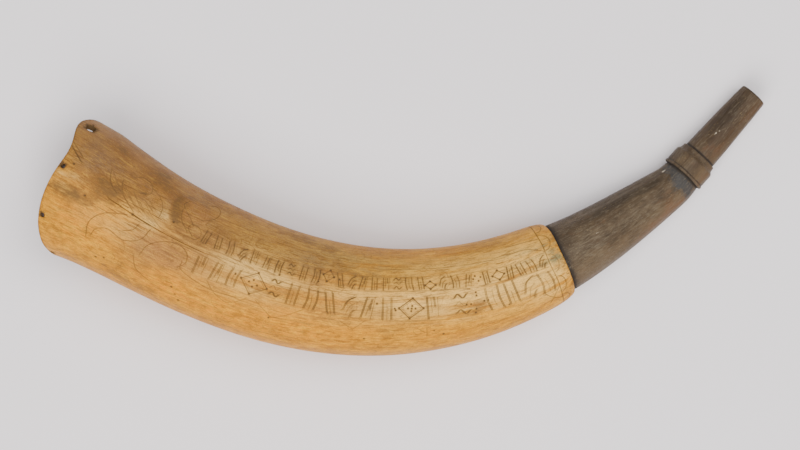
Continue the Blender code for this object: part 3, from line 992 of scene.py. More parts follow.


# Rows of the turned parts, each as how far on from the part's start, how much wider than its
# radius, and grime with painted shade, strongest in the grooves
STEP_ROWS = ((0.06, 0.1, 1), (0.45, -0.35, 1), (1.1, -0.3, 0.9))
FOOT_ROWS = ((-0.7, -0.1, 0.8), (-0.1, -0.1, 1), (0, 0.5, 0.8))
LIP_ROWS = (
    (0.05, -0.4, 0.35), (0.3, -0.08, 0.3), (0.6, 0, 0.25), (1.1, 0, 0.3), (1.4, -0.12, 0.5),
    (1.55, -0.22, 0.5), (1.67, -0.44, 0.55), (1.88, -0.46, 0.55),
)
BAND_ROWS = (
    (0, -0.18, 0.35), *((s, -0.2 * (1 - s / 0.6) ** 2, 0.25) for s in (0.15, 0.35, 0.6)),
    *((s, 0, 0.12) for s in np.linspace(1.2, 6.4, 6)),
    (6.9, -0.06, 0.1), (7.3, -0.3, 0.1), (7.9, -0.8, 0.15), (8.6, -1.3, 0.3), (9.6, -1.4, 0.3),
)
SPOUT_FOOT_ROWS = ((-0.3, 0.9, 0.35), (-0.05, 0.6, 0.6), (0, 0.15, 1), (0.4, -0.1, 0.95))
NECK_ROWS = 52
SPOUT_ROWS = 26


def turned_rows():
    """Station, radius, share of neck marks, and grime with painted shade, of each row past the step:
    the step's face, the neck, the foot, lip, gap and band of the ring, and the spout to its end."""
    top = body_width(STEP)
    # The last number of each row is grime with painted shade, strongest at the step and ring grooves
    rows = [(STEP, top, 0.0, 0.35), (STEP + 0.03, top - 0.35, 0.3, 0.7)]
    rows += [(STEP + s, NECK_START_RADIUS + wider, 1.0, dirt) for s, wider, dirt in STEP_ROWS]
    for s in np.linspace(STEP + 2.0, NECK_END - 1.6, NECK_ROWS):
        # Darker towards both ends of the neck: grime and painted shade in the corners
        dirt = 0.55 * np.exp(-(s - STEP - 2.0) / 2.5) + 0.5 * np.exp(-(NECK_END - s) / 2.5)
        rows.append((s, neck_width(s), 1.0, dirt))
    for start, radius, table in (
        (NECK_END, NECK_END_RADIUS, FOOT_ROWS), (NECK_END, LIP_RADIUS, LIP_ROWS),
        (BAND_START, BAND_RADIUS, BAND_ROWS), (SPOUT_START, SPOUT_RADIUS, SPOUT_FOOT_ROWS),
    ):
        rows += [(start + s, radius + wider, 1.0, dirt) for s, wider, dirt in table]
    for s in np.linspace(SPOUT_START + 1.2, LENGTH - 1.2, SPOUT_ROWS):
        rows.append((s, spout_width(s), 1.0, 0.55 * np.exp(-(s - SPOUT_START) / 1.8)))
    rows += [
        (LENGTH - 0.45, spout_width(LENGTH - 0.45) - 0.05, 1.0, 0.3),
        (LENGTH - 0.1, SPOUT_END_RADIUS - 0.25, 1.0, 0.6),
        (LENGTH, SPOUT_END_RADIUS - 0.6, 1.0, 0.5),
        (LENGTH, 5.6, 0.6, 0.4),
        (LENGTH, BORE_RADIUS + 0.5, 0.3, 0.6),
    ]
    return np.array(rows)


def add_outside(shell, angles, edge, rings, worn):
    """The engraved outside, from the rim to the step."""
    cuts, dots = engraving()
    straight = np.linspace(0, SHOULDER, int(round(SHOULDER / ROW_SPACING)))
    quarter = np.sin(np.linspace(0, np.pi / 2, 12))[1:]
    stations = np.concatenate((straight, SHOULDER + (STEP - SHOULDER) * quarter))
    flat, faces = cut_pattern(stations, edge, cuts, dots, rings)
    depth, ink = carve(flat, cuts, dots)
    wear, soot = hole_wear(flat, worn)
    s, a = flat.T
    rim_grime = 0.5 * np.exp(-(s - np.interp(a, angles, edge, period=TURN)) / 1.2)
    # Darker just before the step
    step_darkening = 0.35 * np.exp(-(STEP - s) / 0.5)
    width = scraped_width(s, a)
    values = horn_values(s, a, width, np.maximum(ink, soot), rim_grime + step_darkening)
    shell.add(skin(s, a, width - depth - wear), faces, SCRAPED, values)


def add_turned(shell, angles):
    """Past the step: the turned rows of the neck, ring and spout, to the rim of the bore."""
    rows = turned_rows()
    s, w, share, grime_and_shade = (column[:, None] for column in rows.T)
    marks = (1 - share) * body_marks(s, angles) + share * neck_marks(s, angles)
    marks[-1] = 0
    outside = w - marks
    shell.add(
        skin(s + 0 * angles, angles + 0 * s, outside), grid_faces(len(rows), COLUMNS), DARK,
        horn_values(s, angles, outside, 0.0, grime_and_shade),
    )


def add_inside(shell, angles, edge, rings):
    """The bore and the hollow back towards the mouth, then the inside of the rim with its holes."""
    bore = np.concatenate(((LENGTH, LENGTH - 0.4), np.linspace(LENGTH - 1.5, BORE_START, 20)))
    hollow = np.linspace(BORE_START, RIM_INSIDE, 48)[1:]
    rows = slanted(np.concatenate((bore, hollow)), edge)
    wide = hollow_width(rows)
    wide[0] = BORE_RADIUS + 0.5
    shell.add(
        skin(rows, angles + 0 * rows, wide), grid_faces(len(rows), COLUMNS), RAW,
        horn_values(rows, angles, wide, 0.0, 0.2),
    )
    flat, faces = cut_pattern(np.linspace(0, RIM_INSIDE, 13), edge, [], [], rings)
    s, a = flat.T
    shell.add(
        skin(s, a, hollow_width(s)), faces, RAW, horn_values(s, a, hollow_width(s), 0.0, 0.1),
    )


def add_rim(shell, angles, outer, inner, worn):
    """The rim's edge: from the inner skin to the outer one, swelling outwards between them."""
    width = scraped_width(outer, angles)
    wear, _ = hole_wear(np.stack((outer, angles), -1), worn)
    from_in = skin(inner, angles, hollow_width(inner))
    from_out = skin(outer, angles, width - wear)
    along = np.roll(from_out, -1, axis=0) - np.roll(from_out, 1, axis=0)
    facing = np.cross(along, from_out - from_in)
    facing *= -np.sign((facing * directions(outer)[0]).sum(-1))[:, None]
    facing /= np.linalg.norm(facing, axis=-1)[:, None]
    nicks = RIM_ROUND * (0.75 + 0.25 * lumps(straightened(0 * angles, angles, 1.0), 0.12, 9))
    t = np.linspace(0, 1, 9)[:, None]
    bulge = (np.sin(np.pi * t) ** 0.7)[..., None] * nicks[:, None] * facing
    strip = blend(from_in, from_out, t[..., None]) + bulge
    strip[..., 2] = np.maximum(strip[..., 2], 0)
    s, w = blend(inner, outer, t), blend(hollow_width(inner), width, t)
    shell.add(strip, grid_faces(9, COLUMNS), SCRAPED, horn_values(s, angles, w, 0.0, 0.55))


def add_hole_wall(shell, outer, inner, worn):
    """The wall of one drilled hole, from its outer ring to its inner one, dark with painted shade."""
    wear, _ = hole_wear(outer, worn)
    top = skin(*outer.T, scraped_width(*outer.T) - wear)
    bottom = skin(*inner.T, hollow_width(inner[:, 0]))
    t = np.linspace(0, 1, 5)[:, None]
    wall = blend(top, bottom, t[..., None])
    w = blend(body_width(outer[:, 0]), hollow_width(inner[:, 0]), t)
    # Ink 0.9 and grime 1.0 darken the whole wall: painted shade inside the hole
    shell.add(wall, grid_faces(5, RING_POINTS), SCRAPED, horn_values(*outer.T, w, 0.9, 1.0))


def make_horn(materials):
    """The one carved piece as a closed skin: pattern outside, turned rows, bore and hollow,
    pattern inside the rim, the rim's rounded edge, and a wall round each drilled hole."""
    angles = np.linspace(-np.pi / 2, 3 * np.pi / 2, COLUMNS + 1)[:-1]
    drills = [(strap_axis(), STRAP_HOLE_RADIUS, STRAP_HOLE_WEAR)]
    drills += [(axis, PIN_HOLE_RADIUS, PIN_HOLE_WEAR) for axis in pin_axes()]
    outer_rings = [drilled(*axis, radius, body_width) for axis, radius, _ in drills]
    inner_rings = [drilled(*axis, DRILL_TAPER * radius, hollow_width) for axis, radius, _ in drills]
    worn = [(ring, *wear) for ring, (_, _, wear) in zip(outer_rings, drills)]
    outer_edge = cut_station(angles, body_width(0.0)) - lobe(angles) + RIM_ROUND
    inner_edge = cut_station(angles, body_width(0.0) - RIM_WALL) - lobe(angles) + RIM_ROUND
    shell = Shell()
    add_outside(shell, angles, outer_edge, outer_rings, worn)
    add_turned(shell, angles)
    add_inside(shell, angles, inner_edge, inner_rings)
    add_rim(shell, angles, outer_edge, inner_edge, worn)
    for outer, inner in zip(outer_rings, inner_rings):
        add_hole_wall(shell, outer, inner, worn)
    return shell.build("engraved_horn", materials)


# ---------------------------------------------------------------- plug and pins


def in_mouth(a, deep, gap):
    """Points of the hollow's skin, less a gap, this deep behind the mouth: each station slides
    along until its point is that far behind the slanted cut."""
    middle, facing = mouth_plane()
    s = np.zeros(np.broadcast(a, deep).shape)
    for _ in range(14):
        points = on_horn(s, a + 0 * s, hollow_width(s) - gap) + PLACE
        s = s + ((points - middle) @ facing + deep) / np.cos(MOUTH_LEAN)
    return points


def make_plug(material):
    """The wooden plug: a slice of the hollow's shape.  Its faces are rings shrunk towards the
    middle, raised along the grain; its rim is chamfered and one drying crack runs inwards."""
    a = np.linspace(0, TURN, 181)[:-1]
    middle, facing = mouth_plane()
    chamfer = 0.9
    deep = np.array((0.12, 0.4, chamfer, 2.0, 5.0, 9.0, PLUG_THICKNESS - chamfer, PLUG_THICKNESS))
    inset = np.array((chamfer * 0.7, 0.3, 0.05, 0, 0, 0, 0.05, chamfer * 0.8))
    side = in_mouth(a, deep[:, None], PLUG_GAP + inset[:, None])
    down = square_to(facing)
    grain = np.cross(facing, down)

    def face(rim, deep_here, shares):
        """Rings shrunk from a rim to its middle, this deep behind the mouth."""
        heart = rim.mean(axis=0)
        rings = heart + np.asarray(shares)[:, None, None] * (rim - heart)
        x, y = (rings - middle) @ down, (rings - middle) @ grain
        spot = np.stack((0.35 * x, y, 0 * x), -1)
        ribs = np.sin(1.5 * y + 2.2 * lumps(spot, 9.0, 21)) * 0.07
        scoops = 0.16 * lumps(np.stack((x, y, 0 * x), -1), 5.0, 22)
        crack_line = 3.0 + 0.8 * np.sin(0.3 * x)
        crack = 0.8 * np.exp(-(((y - crack_line) / 0.35) ** 2)) * smooth((x + 2) / 8)
        raised = (ribs + scoops - crack) * np.minimum(1, 6 * (1 - np.asarray(shares)))[:, None]
        return rings + np.where(deep_here < 6, 1.0, -1.0) * raised[..., None] * facing

    outer = face(side[0], 0.0, np.linspace(0, 1, 60)[:-1])
    inner = face(side[-1], PLUG_THICKNESS, np.linspace(1, 0, 24)[1:])
    rows = np.concatenate((outer, side, inner))
    rows[..., 2] = np.maximum(rows[..., 2], 0)
    shell = Shell()
    away = (rows - middle).reshape(-1, 3)
    own = np.stack((away @ down, away @ grain, away @ facing), -1)
    shell.add(rows, grid_faces(len(rows), len(a)), 0, {"straight": own})
    return shell.build("mouth_plug", [material], sharp_deg=32)


def make_pin(number, point, inward, material):
    """One hand-forged pin: circles of its width round its axis, roughened by lumps, with a
    dented head that is a low dome: a quarter of a sine across, and of a circle deep."""
    side = square_to(inward)
    level = np.cross(inward, side)
    a = np.arange(28) * TURN / 28
    dome = np.sin(np.linspace(0, np.pi / 2, 8))
    head = PIN_SUNK + PIN_DOME * (1 - np.sqrt(1 - dome**2))
    end = (PIN_LENGTH, PIN_LENGTH + PIN_SUNK, PIN_LENGTH + PIN_SUNK)
    deep = np.concatenate((head, np.linspace(1.2, PIN_LENGTH - 0.8, 12), end))[:, None]
    wide = PIN_RADIUS * np.concatenate((dome, np.ones(11), (0.9, 0.7, 0.35, 0.0)))[:, None]
    spot = straightened(deep + 13 * number, a, wide)
    rough = 0.09 * lumps(spot, 0.6, 31) * np.minimum(1, wide / PIN_RADIUS)
    dents = 0.14 * lumps(spot, 0.9, 32) * (deep < 1.0)
    outward = np.cos(a)[:, None] * side + np.sin(a)[:, None] * level
    ring = (wide - 0.06 + rough)[..., None] * outward
    rows = point + ring * (wide > 0)[..., None] + (deep + dents * (wide > 0))[..., None] * inward
    shell = Shell()
    shell.add(rows, grid_faces(len(rows), len(a)), 0, {"straight": spot})
    return shell.build(f"iron_pin_{number}", [material], sharp_deg=60)


# ---------------------------------------------------------------- materials


class Tree:
    """Short ways to add nodes to one node tree and to join them."""

    def __init__(self, tree):
        self.tree = tree

    def put(self, target, value):
        """Join a value to an input, or set the input's own value."""
        if isinstance(value, Value):
            self.tree.links.new(value.socket, target)
        elif np.ndim(value) == 1 and len(value) == 3 and target.type == "RGBA":
            target.default_value = (*value, 1.0)
        else:
            target.default_value = value

    def add(self, kind, inputs=(), **settings):
        """A node of this kind with its settings made and its inputs joined or set."""
        node = self.tree.nodes.new(kind)
        for key, value in settings.items():
            setattr(node, key, value)
        for key, value in dict(inputs).items():
            self.put(node.inputs[key], value)
        return node

    def value(self, output, kind, inputs=(), **settings):
        """What a new node puts out."""
        return Value(self, self.add(kind, inputs, **settings).outputs[output])

    def math(self, operation, *values, clamp=False):
        """The result of one sum on numbers."""
        settings = {"operation": operation, "use_clamp": clamp}
        return self.value(0, "ShaderNodeMath", enumerate(values), **settings)

    def vector(self, operation, *values):
        """The result of one sum on vectors."""
        return self.value(0, "ShaderNodeVectorMath", enumerate(values), operation=operation)

    def mix(self, share, first, second):
        """A colour between two, by share."""
        settings = {"data_type": "RGBA", "blend_type": "MIX", "clamp_factor": True}
        return self.value(2, "ShaderNodeMix", {0: share, 6: first, 7: second}, **settings)

    def ramp(self, value, *stops):
        """A colour for each value, from stops of (value, colour)."""
        node = self.add("ShaderNodeValToRGB", {"Fac": value})
        elements = node.color_ramp.elements
        while len(elements) < len(stops):
            elements.new(0.5)
        for element, (where, colour) in zip(elements, stops):
            element.position = where
            element.color = (*colour, 1.0)
        return Value(self, node.outputs["Color"])

    def attribute(self, name, vector=False):
        """A named number or vector kept on the piece's points."""
        output = "Vector" if vector else "Fac"
        return self.value(output, "ShaderNodeAttribute", attribute_name=name)


class Value:
    """What a node puts out.  Sums and patterns made from it are nodes in the same tree."""

    def __init__(self, tree, socket):
        self.tree = tree
        self.socket = socket

    def __add__(self, other):
        return self.tree.math("ADD", self, other)

    def __radd__(self, other):
        return self.tree.math("ADD", other, self)

    def __sub__(self, other):
        return self.tree.math("SUBTRACT", self, other)

    def __rsub__(self, other):
        return self.tree.math("SUBTRACT", other, self)

    def __mul__(self, other):
        return self.tree.math("MULTIPLY", self, other)

    def most(self, other):
        """The larger of this and another."""
        return self.tree.math("MAXIMUM", self, other)

    def fraction(self):
        """What is left past the whole number."""
        return self.tree.math("FRACT", self)

    def between(self, low, high):
        """0 below low and 1 above high, with a soft rise."""
        ends = {"Value": self, "From Min": low, "From Max": high}
        return self.tree.value(0, "ShaderNodeMapRange", ends, interpolation_type="SMOOTHSTEP")

    def thin_line(self, core, fade):
        """1 where this is close to one half, falling to 0 between core and fade from it."""
        return 1.0 - self.tree.math("ABSOLUTE", self - 0.5).between(core, fade)

    def stretched(self, scale, shift=(0, 0, 0), turn=(0, 0, 0)):
        """This place scaled by three numbers, shifted and turned."""
        inputs = {"Vector": self, "Scale": scale, "Location": shift, "Rotation": turn}
        return self.tree.value(0, "ShaderNodeMapping", inputs)

    def noise(self, scale=1.0, detail=3.0, rough=0.55):
        """Soft noise about one half at this place."""
        inputs = {"Vector": self, "Scale": scale, "Detail": detail, "Roughness": rough}
        return self.tree.value("Fac", "ShaderNodeTexNoise", inputs)

    def drawn_noise(self, along, across, detail=3.0, rough=0.55, shift=(0, 0, 0)):
        """Soft noise drawn out along the horn, by one scale along it and one across it."""
        return self.stretched((along, across, across), shift).noise(1.0, detail, rough)

    def bump(self, strength, distance_mm, normal=None):
        """A normal that follows this height, over another normal if one is given."""
        inputs = {"Height": self, "Strength": strength, "Distance": distance_mm * MM}
        if normal is not None:
            inputs["Normal"] = normal
        return self.tree.value("Normal", "ShaderNodeBump", inputs)


class Coat:
    """A colour built up in layers: a ramp of a value, then one colour over it after another."""

    def __init__(self, tree, value, *stops):
        self.tree = tree
        self.colour = tree.ramp(value, *stops)

    def lay(self, colour, share, *more):
        """Lay a colour over what is there, as strongly as the shares multiplied together."""
        for value in more:
            share = share * value
        self.colour = self.tree.mix(share, self.colour, colour)


def make_group(name, inputs, outputs, build):
    """A shader node group with named sockets; build takes its tree and inputs and gives outputs."""
    group = bpy.data.node_groups.new(name, "ShaderNodeTree")
    for key, (kind, value) in inputs.items():
        socket = group.interface.new_socket(key, in_out="INPUT", socket_type=kind)
        if value is not None:
            socket.default_value = value
    for key in outputs:
        group.interface.new_socket(key, in_out="OUTPUT", socket_type="NodeSocketFloat")
    tree = Tree(group)
    source = group.nodes.new("NodeGroupInput").outputs
    results = build(tree, {key: Value(tree, source[key]) for key in inputs})
    target = group.nodes.new("NodeGroupOutput").inputs
    for key, value in zip(outputs, results):
        tree.put(target[key], value)
    return group


VECTOR, NUMBER = "NodeSocketVector", "NodeSocketFloat"


def fibre_group():
    """Fibres of horn or wood along the first axis: broad streaks, fine lines and a height."""

    def build(tree, given):
        place = given["Place"]
        swing = place.drawn_noise(0.03, 0.05, 2.0) * given["Waviness"]
        place = tree.vector("ADD", tree.vector("MULTIPLY", place, (0.045, 1.0, 1.0)), swing)
        broad = place.noise(given["Broad"], 4.0, 0.6)
        fine = place.noise(given["Fine"], 3.0, 0.65)
        lines = 1.0 - fine.between(0.37, 0.44)
        height = broad * 0.5 + fine * 0.5
        return broad, lines, height

    sockets = {
        "Place": (VECTOR, None), "Broad": (NUMBER, 0.25), "Fine": (NUMBER, 1.2),
        "Waviness": (NUMBER, 3.0),
    }
    return make_group("fibres", sockets, ("Streaks", "Lines", "Height"), build)


def scratch_group():
    """Stray scratches: thin level lines of long noise laid at three slants."""

    def build(tree, given):
        total = None
        for slant, shift in ((0.5, 0.0), (-0.7, 31.0), (1.3, 67.0)):
            place = given["Place"].stretched(
                (0.05, 0.9, 0.9), (shift, shift, 0.0), (slant, 0.0, slant),
            )
            line = place.noise(given["Scale"], 2.0, 0.5).thin_line(0.003, 0.011)
            line = line * place.noise(0.35, 1.0).between(0.5, 0.62)
            total = line if total is None else total.most(line)
        return (total * given["Amount"],)

    sockets = {"Place": (VECTOR, None), "Scale": (NUMBER, 0.5), "Amount": (NUMBER, 1.0)}
    return make_group("scratches", sockets, ("Mask",), build)


def speck_group():
    """Specks of dirt or pores: small round cells, kept only where a broader noise is high."""

    def build(tree, given):
        inputs = {"Vector": given["Place"], "Scale": given["Scale"], "Randomness": 1.0}
        away = tree.value("Distance", "ShaderNodeTexVoronoi", inputs)
        speck = 1.0 - away.between(0.08, given["Size"])
        where = given["Place"].noise(0.16, 3.0).between(0.48, 0.66)
        return (speck * where * given["Amount"],)

    sockets = {
        "Place": (VECTOR, None), "Scale": (NUMBER, 0.8), "Size": (NUMBER, 0.3),
        "Amount": (NUMBER, 1.0),
    }
    return make_group("specks", sockets, ("Mask",), build)


def grime_and_shade_group():
    """Handling dirt and painted shade in grooves and holes: a mask broken up by noise."""

    def build(tree, given):
        broken = given["Place"].noise(0.45, 4.0, 0.65)
        share = given["Mask"] + (broken - 0.5) * 0.9
        present = given["Mask"].between(0.0, 0.15)
        return (share.between(0.12, 0.85) * present,)

    sockets = {"Place": (VECTOR, None), "Mask": (NUMBER, 0.0)}
    return make_group("grime_and_shade", sockets, ("Mask",), build)


def new_material(name, roughness, specular=0.5):
    """A new material, short ways to add to its tree, and its Principled shader."""
    material = bpy.data.materials.new(name)
    material.use_nodes = True
    tree = Tree(material.node_tree)
    shader = material.node_tree.nodes["Principled BSDF"]
    shader.inputs["Roughness"].default_value = roughness
    shader.inputs["Specular IOR Level"].default_value = specular
    return material, tree, shader


def use_group(tree, group, place, **values):
    """What one use of a shared group puts out, by name, with its own values put in."""
    node = tree.add("ShaderNodeGroup", node_tree=group)
    tree.put(node.inputs["Place"], place)
    for key, value in values.items():
        tree.put(node.inputs[key], value)
    return {socket.name: Value(tree, socket) for socket in node.outputs}


def lay_tones(coat, place, streaks, noises):
    """The body's golds: broad clouds, mottling and smudges, the warm outer side, and pale wear
    with a painted highlight along the engraved top.
    """
    tree, mottle, smudge = coat.tree, noises["mottle"], noises["smudge"]
    cloud = place.drawn_noise(0.014, 0.04, 3.0, 0.6, shift=(3, 1, 2))
    coat.lay((0.6, 0.22, 0.008), cloud.between(0.46, 0.62), 0.65)
    coat.lay((0.46, 0.245, 0.04), cloud.between(0.5, 0.34), 0.5)
    coat.lay((0.34, 0.135, 0.014), mottle.between(0.5, 0.72), 0.55)
    coat.lay((0.78, 0.42, 0.045), mottle.between(0.46, 0.3), 0.45)
    coat.lay((0.3, 0.125, 0.016), smudge.between(0.52, 0.64), 0.55)
    coat.lay((0.82, 0.42, 0.045), smudge.between(0.47, 0.34), 0.48)
    coat.lay((0.67, 0.268, 0.003), tree.attribute("warm"), 0.5)
    orange = tree.attribute("red") * mottle.between(0.6, 0.38)
    coat.lay((0.76, 0.27, 0.006), orange, 0.75)
    dapple = place.drawn_noise(0.2, 0.38, 4.0, 0.7, shift=(5, 2, 7))
    share = 0.35 + tree.attribute("warm") * 0.65
    coat.lay((0.39, 0.146, 0.008), dapple.between(0.52, 0.62), share, 0.66)
    coat.lay((0.88, 0.41, 0.016), dapple.between(0.48, 0.38), share, 0.54)
    # Pale wear along the fibres, with a painted highlight along the engraved top
    pale = tree.attribute("pale") * streaks.between(0.3, 0.58)
    coat.lay((0.89, 0.525, 0.125), pale, 0.88)


def lay_age(coat, place, streaks, noises):
    """Darker tone and painted shade on the inner side, ragged stains with painted shade on the
    lower edge among them, green at the step, the layers of the horn cut through in rings, and
    knots with their contours.  Gives how stained and shaded each place is."""
    tree, mottle, patchy = coat.tree, noises["mottle"], noises["patchy"]
    # Darker inner side and the shade areas: partly the horn's tone, partly painted shade
    inner_tone_and_shade = (tree.attribute("inner_tone_and_shade") + tree.attribute("shade")) * (0.5 + patchy * 0.9)
    coat.lay((0.168, 0.098, 0.056), inner_tone_and_shade, 0.8)
    # Stains broken up by noise, with painted shade on the lower edge among them
    blemish_and_shade = tree.attribute("stain_and_shade") + ((patchy - 0.5) * 1.4 + (mottle - 0.5) * 1.3)
    coat.lay((0.2, 0.088, 0.024), blemish_and_shade.between(0.28, 0.8), 0.64)
    coat.lay((0.13, 0.072, 0.026), blemish_and_shade.between(0.9, 1.4), 0.58)
    broken = (mottle + streaks).between(0.75, 1.1)
    coat.lay((0.24, 0.2, 0.085), tree.attribute("green") * broken, 0.8)
    layers = place.drawn_noise(0.02, 0.045, 2.0)
    rings = (layers * 30.0).fraction().thin_line(0.02, 0.13)
    where = place.noise(0.06, 2.0).between(0.48, 0.62) + tree.attribute("crazed") * 0.8
    coat.lay((0.16, 0.07, 0.018), rings * where, 0.38)
    knot = tree.attribute("knot") + (patchy - 0.5) * 0.7
    contour = (knot * 5.5).fraction().thin_line(0.03, 0.22) * knot.between(1.25, 0.85)
    coat.lay((0.4, 0.175, 0.045), knot.between(1.08, 0.8), 0.42)
    coat.lay((0.21, 0.085, 0.02), contour, 0.42)
    return blemish_and_shade


def lay_fibres(coat, place, lines, noises):
    """Fibres, hairs and threads along the horn, each with its light ones as painted glints, then
    dashes and a fine grain.  Gives the dark hairs and the grain, for the relief."""
    warm, crazed = coat.tree.attribute("warm"), coat.tree.attribute("crazed")
    coat.lay((0.2, 0.09, 0.02), lines * (0.4 + crazed * 0.5))
    hairs = place.drawn_noise(0.07, 1.25, 3.0, 0.6, shift=(2, 8, 4))
    # Light hairs: painted glints along the fibres
    coat.lay((0.88, 0.5, 0.06), hairs.between(0.56, 0.68) * 0.2)
    hairs = hairs.between(0.43, 0.35) * (0.34 + crazed * 0.6)
    coat.lay((0.15, 0.068, 0.018), hairs)
    threads = place.drawn_noise(0.09, 2.6, 3.0, 0.6)
    # Light threads: painted glints along the fibres
    coat.lay((0.86, 0.45, 0.06), threads.between(0.58, 0.7) * 0.25)
    coat.lay((0.13, 0.06, 0.015), threads.between(0.41, 0.33) * (0.34 + crazed * 0.65))
    dashes = place.drawn_noise(0.26, 1.5, 3.0, 0.65, shift=(1, 6, 9))
    dashes = dashes.between(0.44, 0.34) * noises["smudge"].between(0.4, 0.6)
    coat.lay((0.26, 0.095, 0.012), dashes, 0.46 + warm * 0.34)
    grain = place.noise(1.5, 3.0, 0.7)
    coat.lay((0.2, 0.09, 0.02), grain.between(0.5, 0.66), 0.26)
    coat.lay((0.86, 0.46, 0.045), grain.between(0.48, 0.34), 0.12)
    return hairs, grain


def scraped_horn(groups):
    """The body: pale gold horn, scraped and polished, with fibres, layers, stains and wear, and
    painted shade, a painted highlight and painted glints.
    """
    material, tree, shader = new_material("scraped_horn", 0.42, 0.1)
    place = tree.attribute("straight", vector=True)
    fibres = use_group(tree, groups["fibres"], place, Broad=0.24, Fine=1.3, Waviness=3.0)
    noises = {
        "patchy": place.noise(0.13, 5.0, 0.62),
        "mottle": place.drawn_noise(0.2, 0.5, 5.0, 0.65),
        "smudge": place.drawn_noise(0.11, 0.19, 6.0, 0.72, shift=(7, 5, 1)),
    }
    coat = Coat(
        tree, fibres["Streaks"], (0.3, (0.42, 0.165, 0.012)), (0.48, (0.57, 0.248, 0.018)),
        (0.66, (0.72, 0.35, 0.034)),
    )
    lay_tones(coat, place, fibres["Streaks"], noises)
    blemish_and_shade = lay_age(coat, place, fibres["Streaks"], noises)
    hairs, grain = lay_fibres(coat, place, fibres["Lines"], noises)
    # Darker again where the stains are strongest, painted shade on the lower edge among them
    coat.lay((0.14, 0.074, 0.026), blemish_and_shade.between(0.8, 1.4), 0.4)
    specks = use_group(tree, groups["specks"], place, Scale=0.7, Size=0.26, Amount=0.6)["Mask"]
    coat.lay((0.1, 0.05, 0.018), specks)
    scratches = use_group(tree, groups["scratches"], place, Scale=0.55, Amount=1.0)["Mask"]
    coat.lay((0.17, 0.08, 0.025), scratches, 0.35)
    # Grime, with painted shade in the grooves and holes
    grime_and_shade = use_group(tree, groups["grime_and_shade"], place, Mask=tree.attribute("grime_and_shade"))["Mask"]
    coat.lay((0.07, 0.04, 0.02), grime_and_shade, 0.8)
    ink = tree.attribute("ink")
    coat.lay((0.1, 0.058, 0.024), ink, 0.95)
    tree.put(shader.inputs["Base Color"], coat.colour)
    rough = 0.32 + place.noise(0.35, 4.0, 0.6) * 0.28 + ink.most(grime_and_shade) * 0.25
    tree.put(shader.inputs["Roughness"], rough)
    normal = fibres["Height"].bump(0.5, 0.3)
    dents = 0.0 - specks.most(scratches.most(hairs))
    normal = dents.bump(0.5, 0.12, normal)
    normal = (noises["mottle"] + grain).bump(0.25, 0.18, normal)
    tree.put(shader.inputs["Normal"], normal)
    return material


def lay_neck_tones(coat, place, streaks, blotch):
    """The neck's browns: grey and reddish patches, painted shade inside the bend and sooty stains."""
    tree = coat.tree
    coat.lay((0.13, 0.098, 0.06), streaks.between(0.46, 0.66), 0.4)
    warmth = tree.attribute("warm") * 0.3 + place.drawn_noise(0.05, 0.11, 5.0, 0.65)
    coat.lay((0.14, 0.09, 0.045), warmth.between(0.5, 0.88), 0.7)
    reddened = place.drawn_noise(0.07, 0.16, 6.0, 0.7, shift=(9, 4, 2))
    reddened = tree.attribute("red") * 0.22 + reddened
    coat.lay((0.148, 0.07, 0.03), reddened.between(0.56, 0.78), 0.6)
    # Painted shade on the inner side of the bend
    inner_tone_and_shade = tree.math("MULTIPLY", tree.attribute("inner_tone_and_shade"), 8.0, clamp=True)
    coat.lay((0.03, 0.023, 0.015), inner_tone_and_shade, 0.5)
    coat.lay((0.042, 0.021, 0.009), tree.attribute("shade"), 0.7)
    sooty = tree.attribute("stain_and_shade") + (blotch - 0.5) * 1.8
    coat.lay((0.026, 0.019, 0.012), sooty.between(0.25, 0.95), 0.62)


def lay_neck_bloom(coat, place, lines):
    """Grey bloom in streaks, blue-grey dirt in the corners, dark fibres and pale threads.
    Gives the threads, for the relief."""
    tree = coat.tree
    plain = 1.0 - tree.attribute("shade") * 0.6
    bloom = place.drawn_noise(0.3, 1.5, 6.0, 0.72)
    where = place.noise(0.05, 3.0) + tree.attribute("crazed") * 0.22
    bloom = bloom.between(0.46, 0.7) * where.between(0.46, 0.66)
    coat.lay((0.198, 0.157, 0.096), bloom, plain, 0.55)
    ragged = (place.noise(0.28, 5.0, 0.68) - 0.5) * 4.0
    blue = (tree.attribute("blue") + ragged).between(0.25, 1.2)
    blue = blue * tree.attribute("blue").between(0.05, 0.6)
    coat.lay((0.04, 0.042, 0.043), blue, 0.8)
    coat.lay((0.03, 0.02, 0.012), lines, 0.35)
    threads = place.drawn_noise(0.05, 2.6, 3.0, 0.6)
    coat.lay((0.19, 0.155, 0.105), threads.between(0.57, 0.68), plain, 0.4)
    return threads


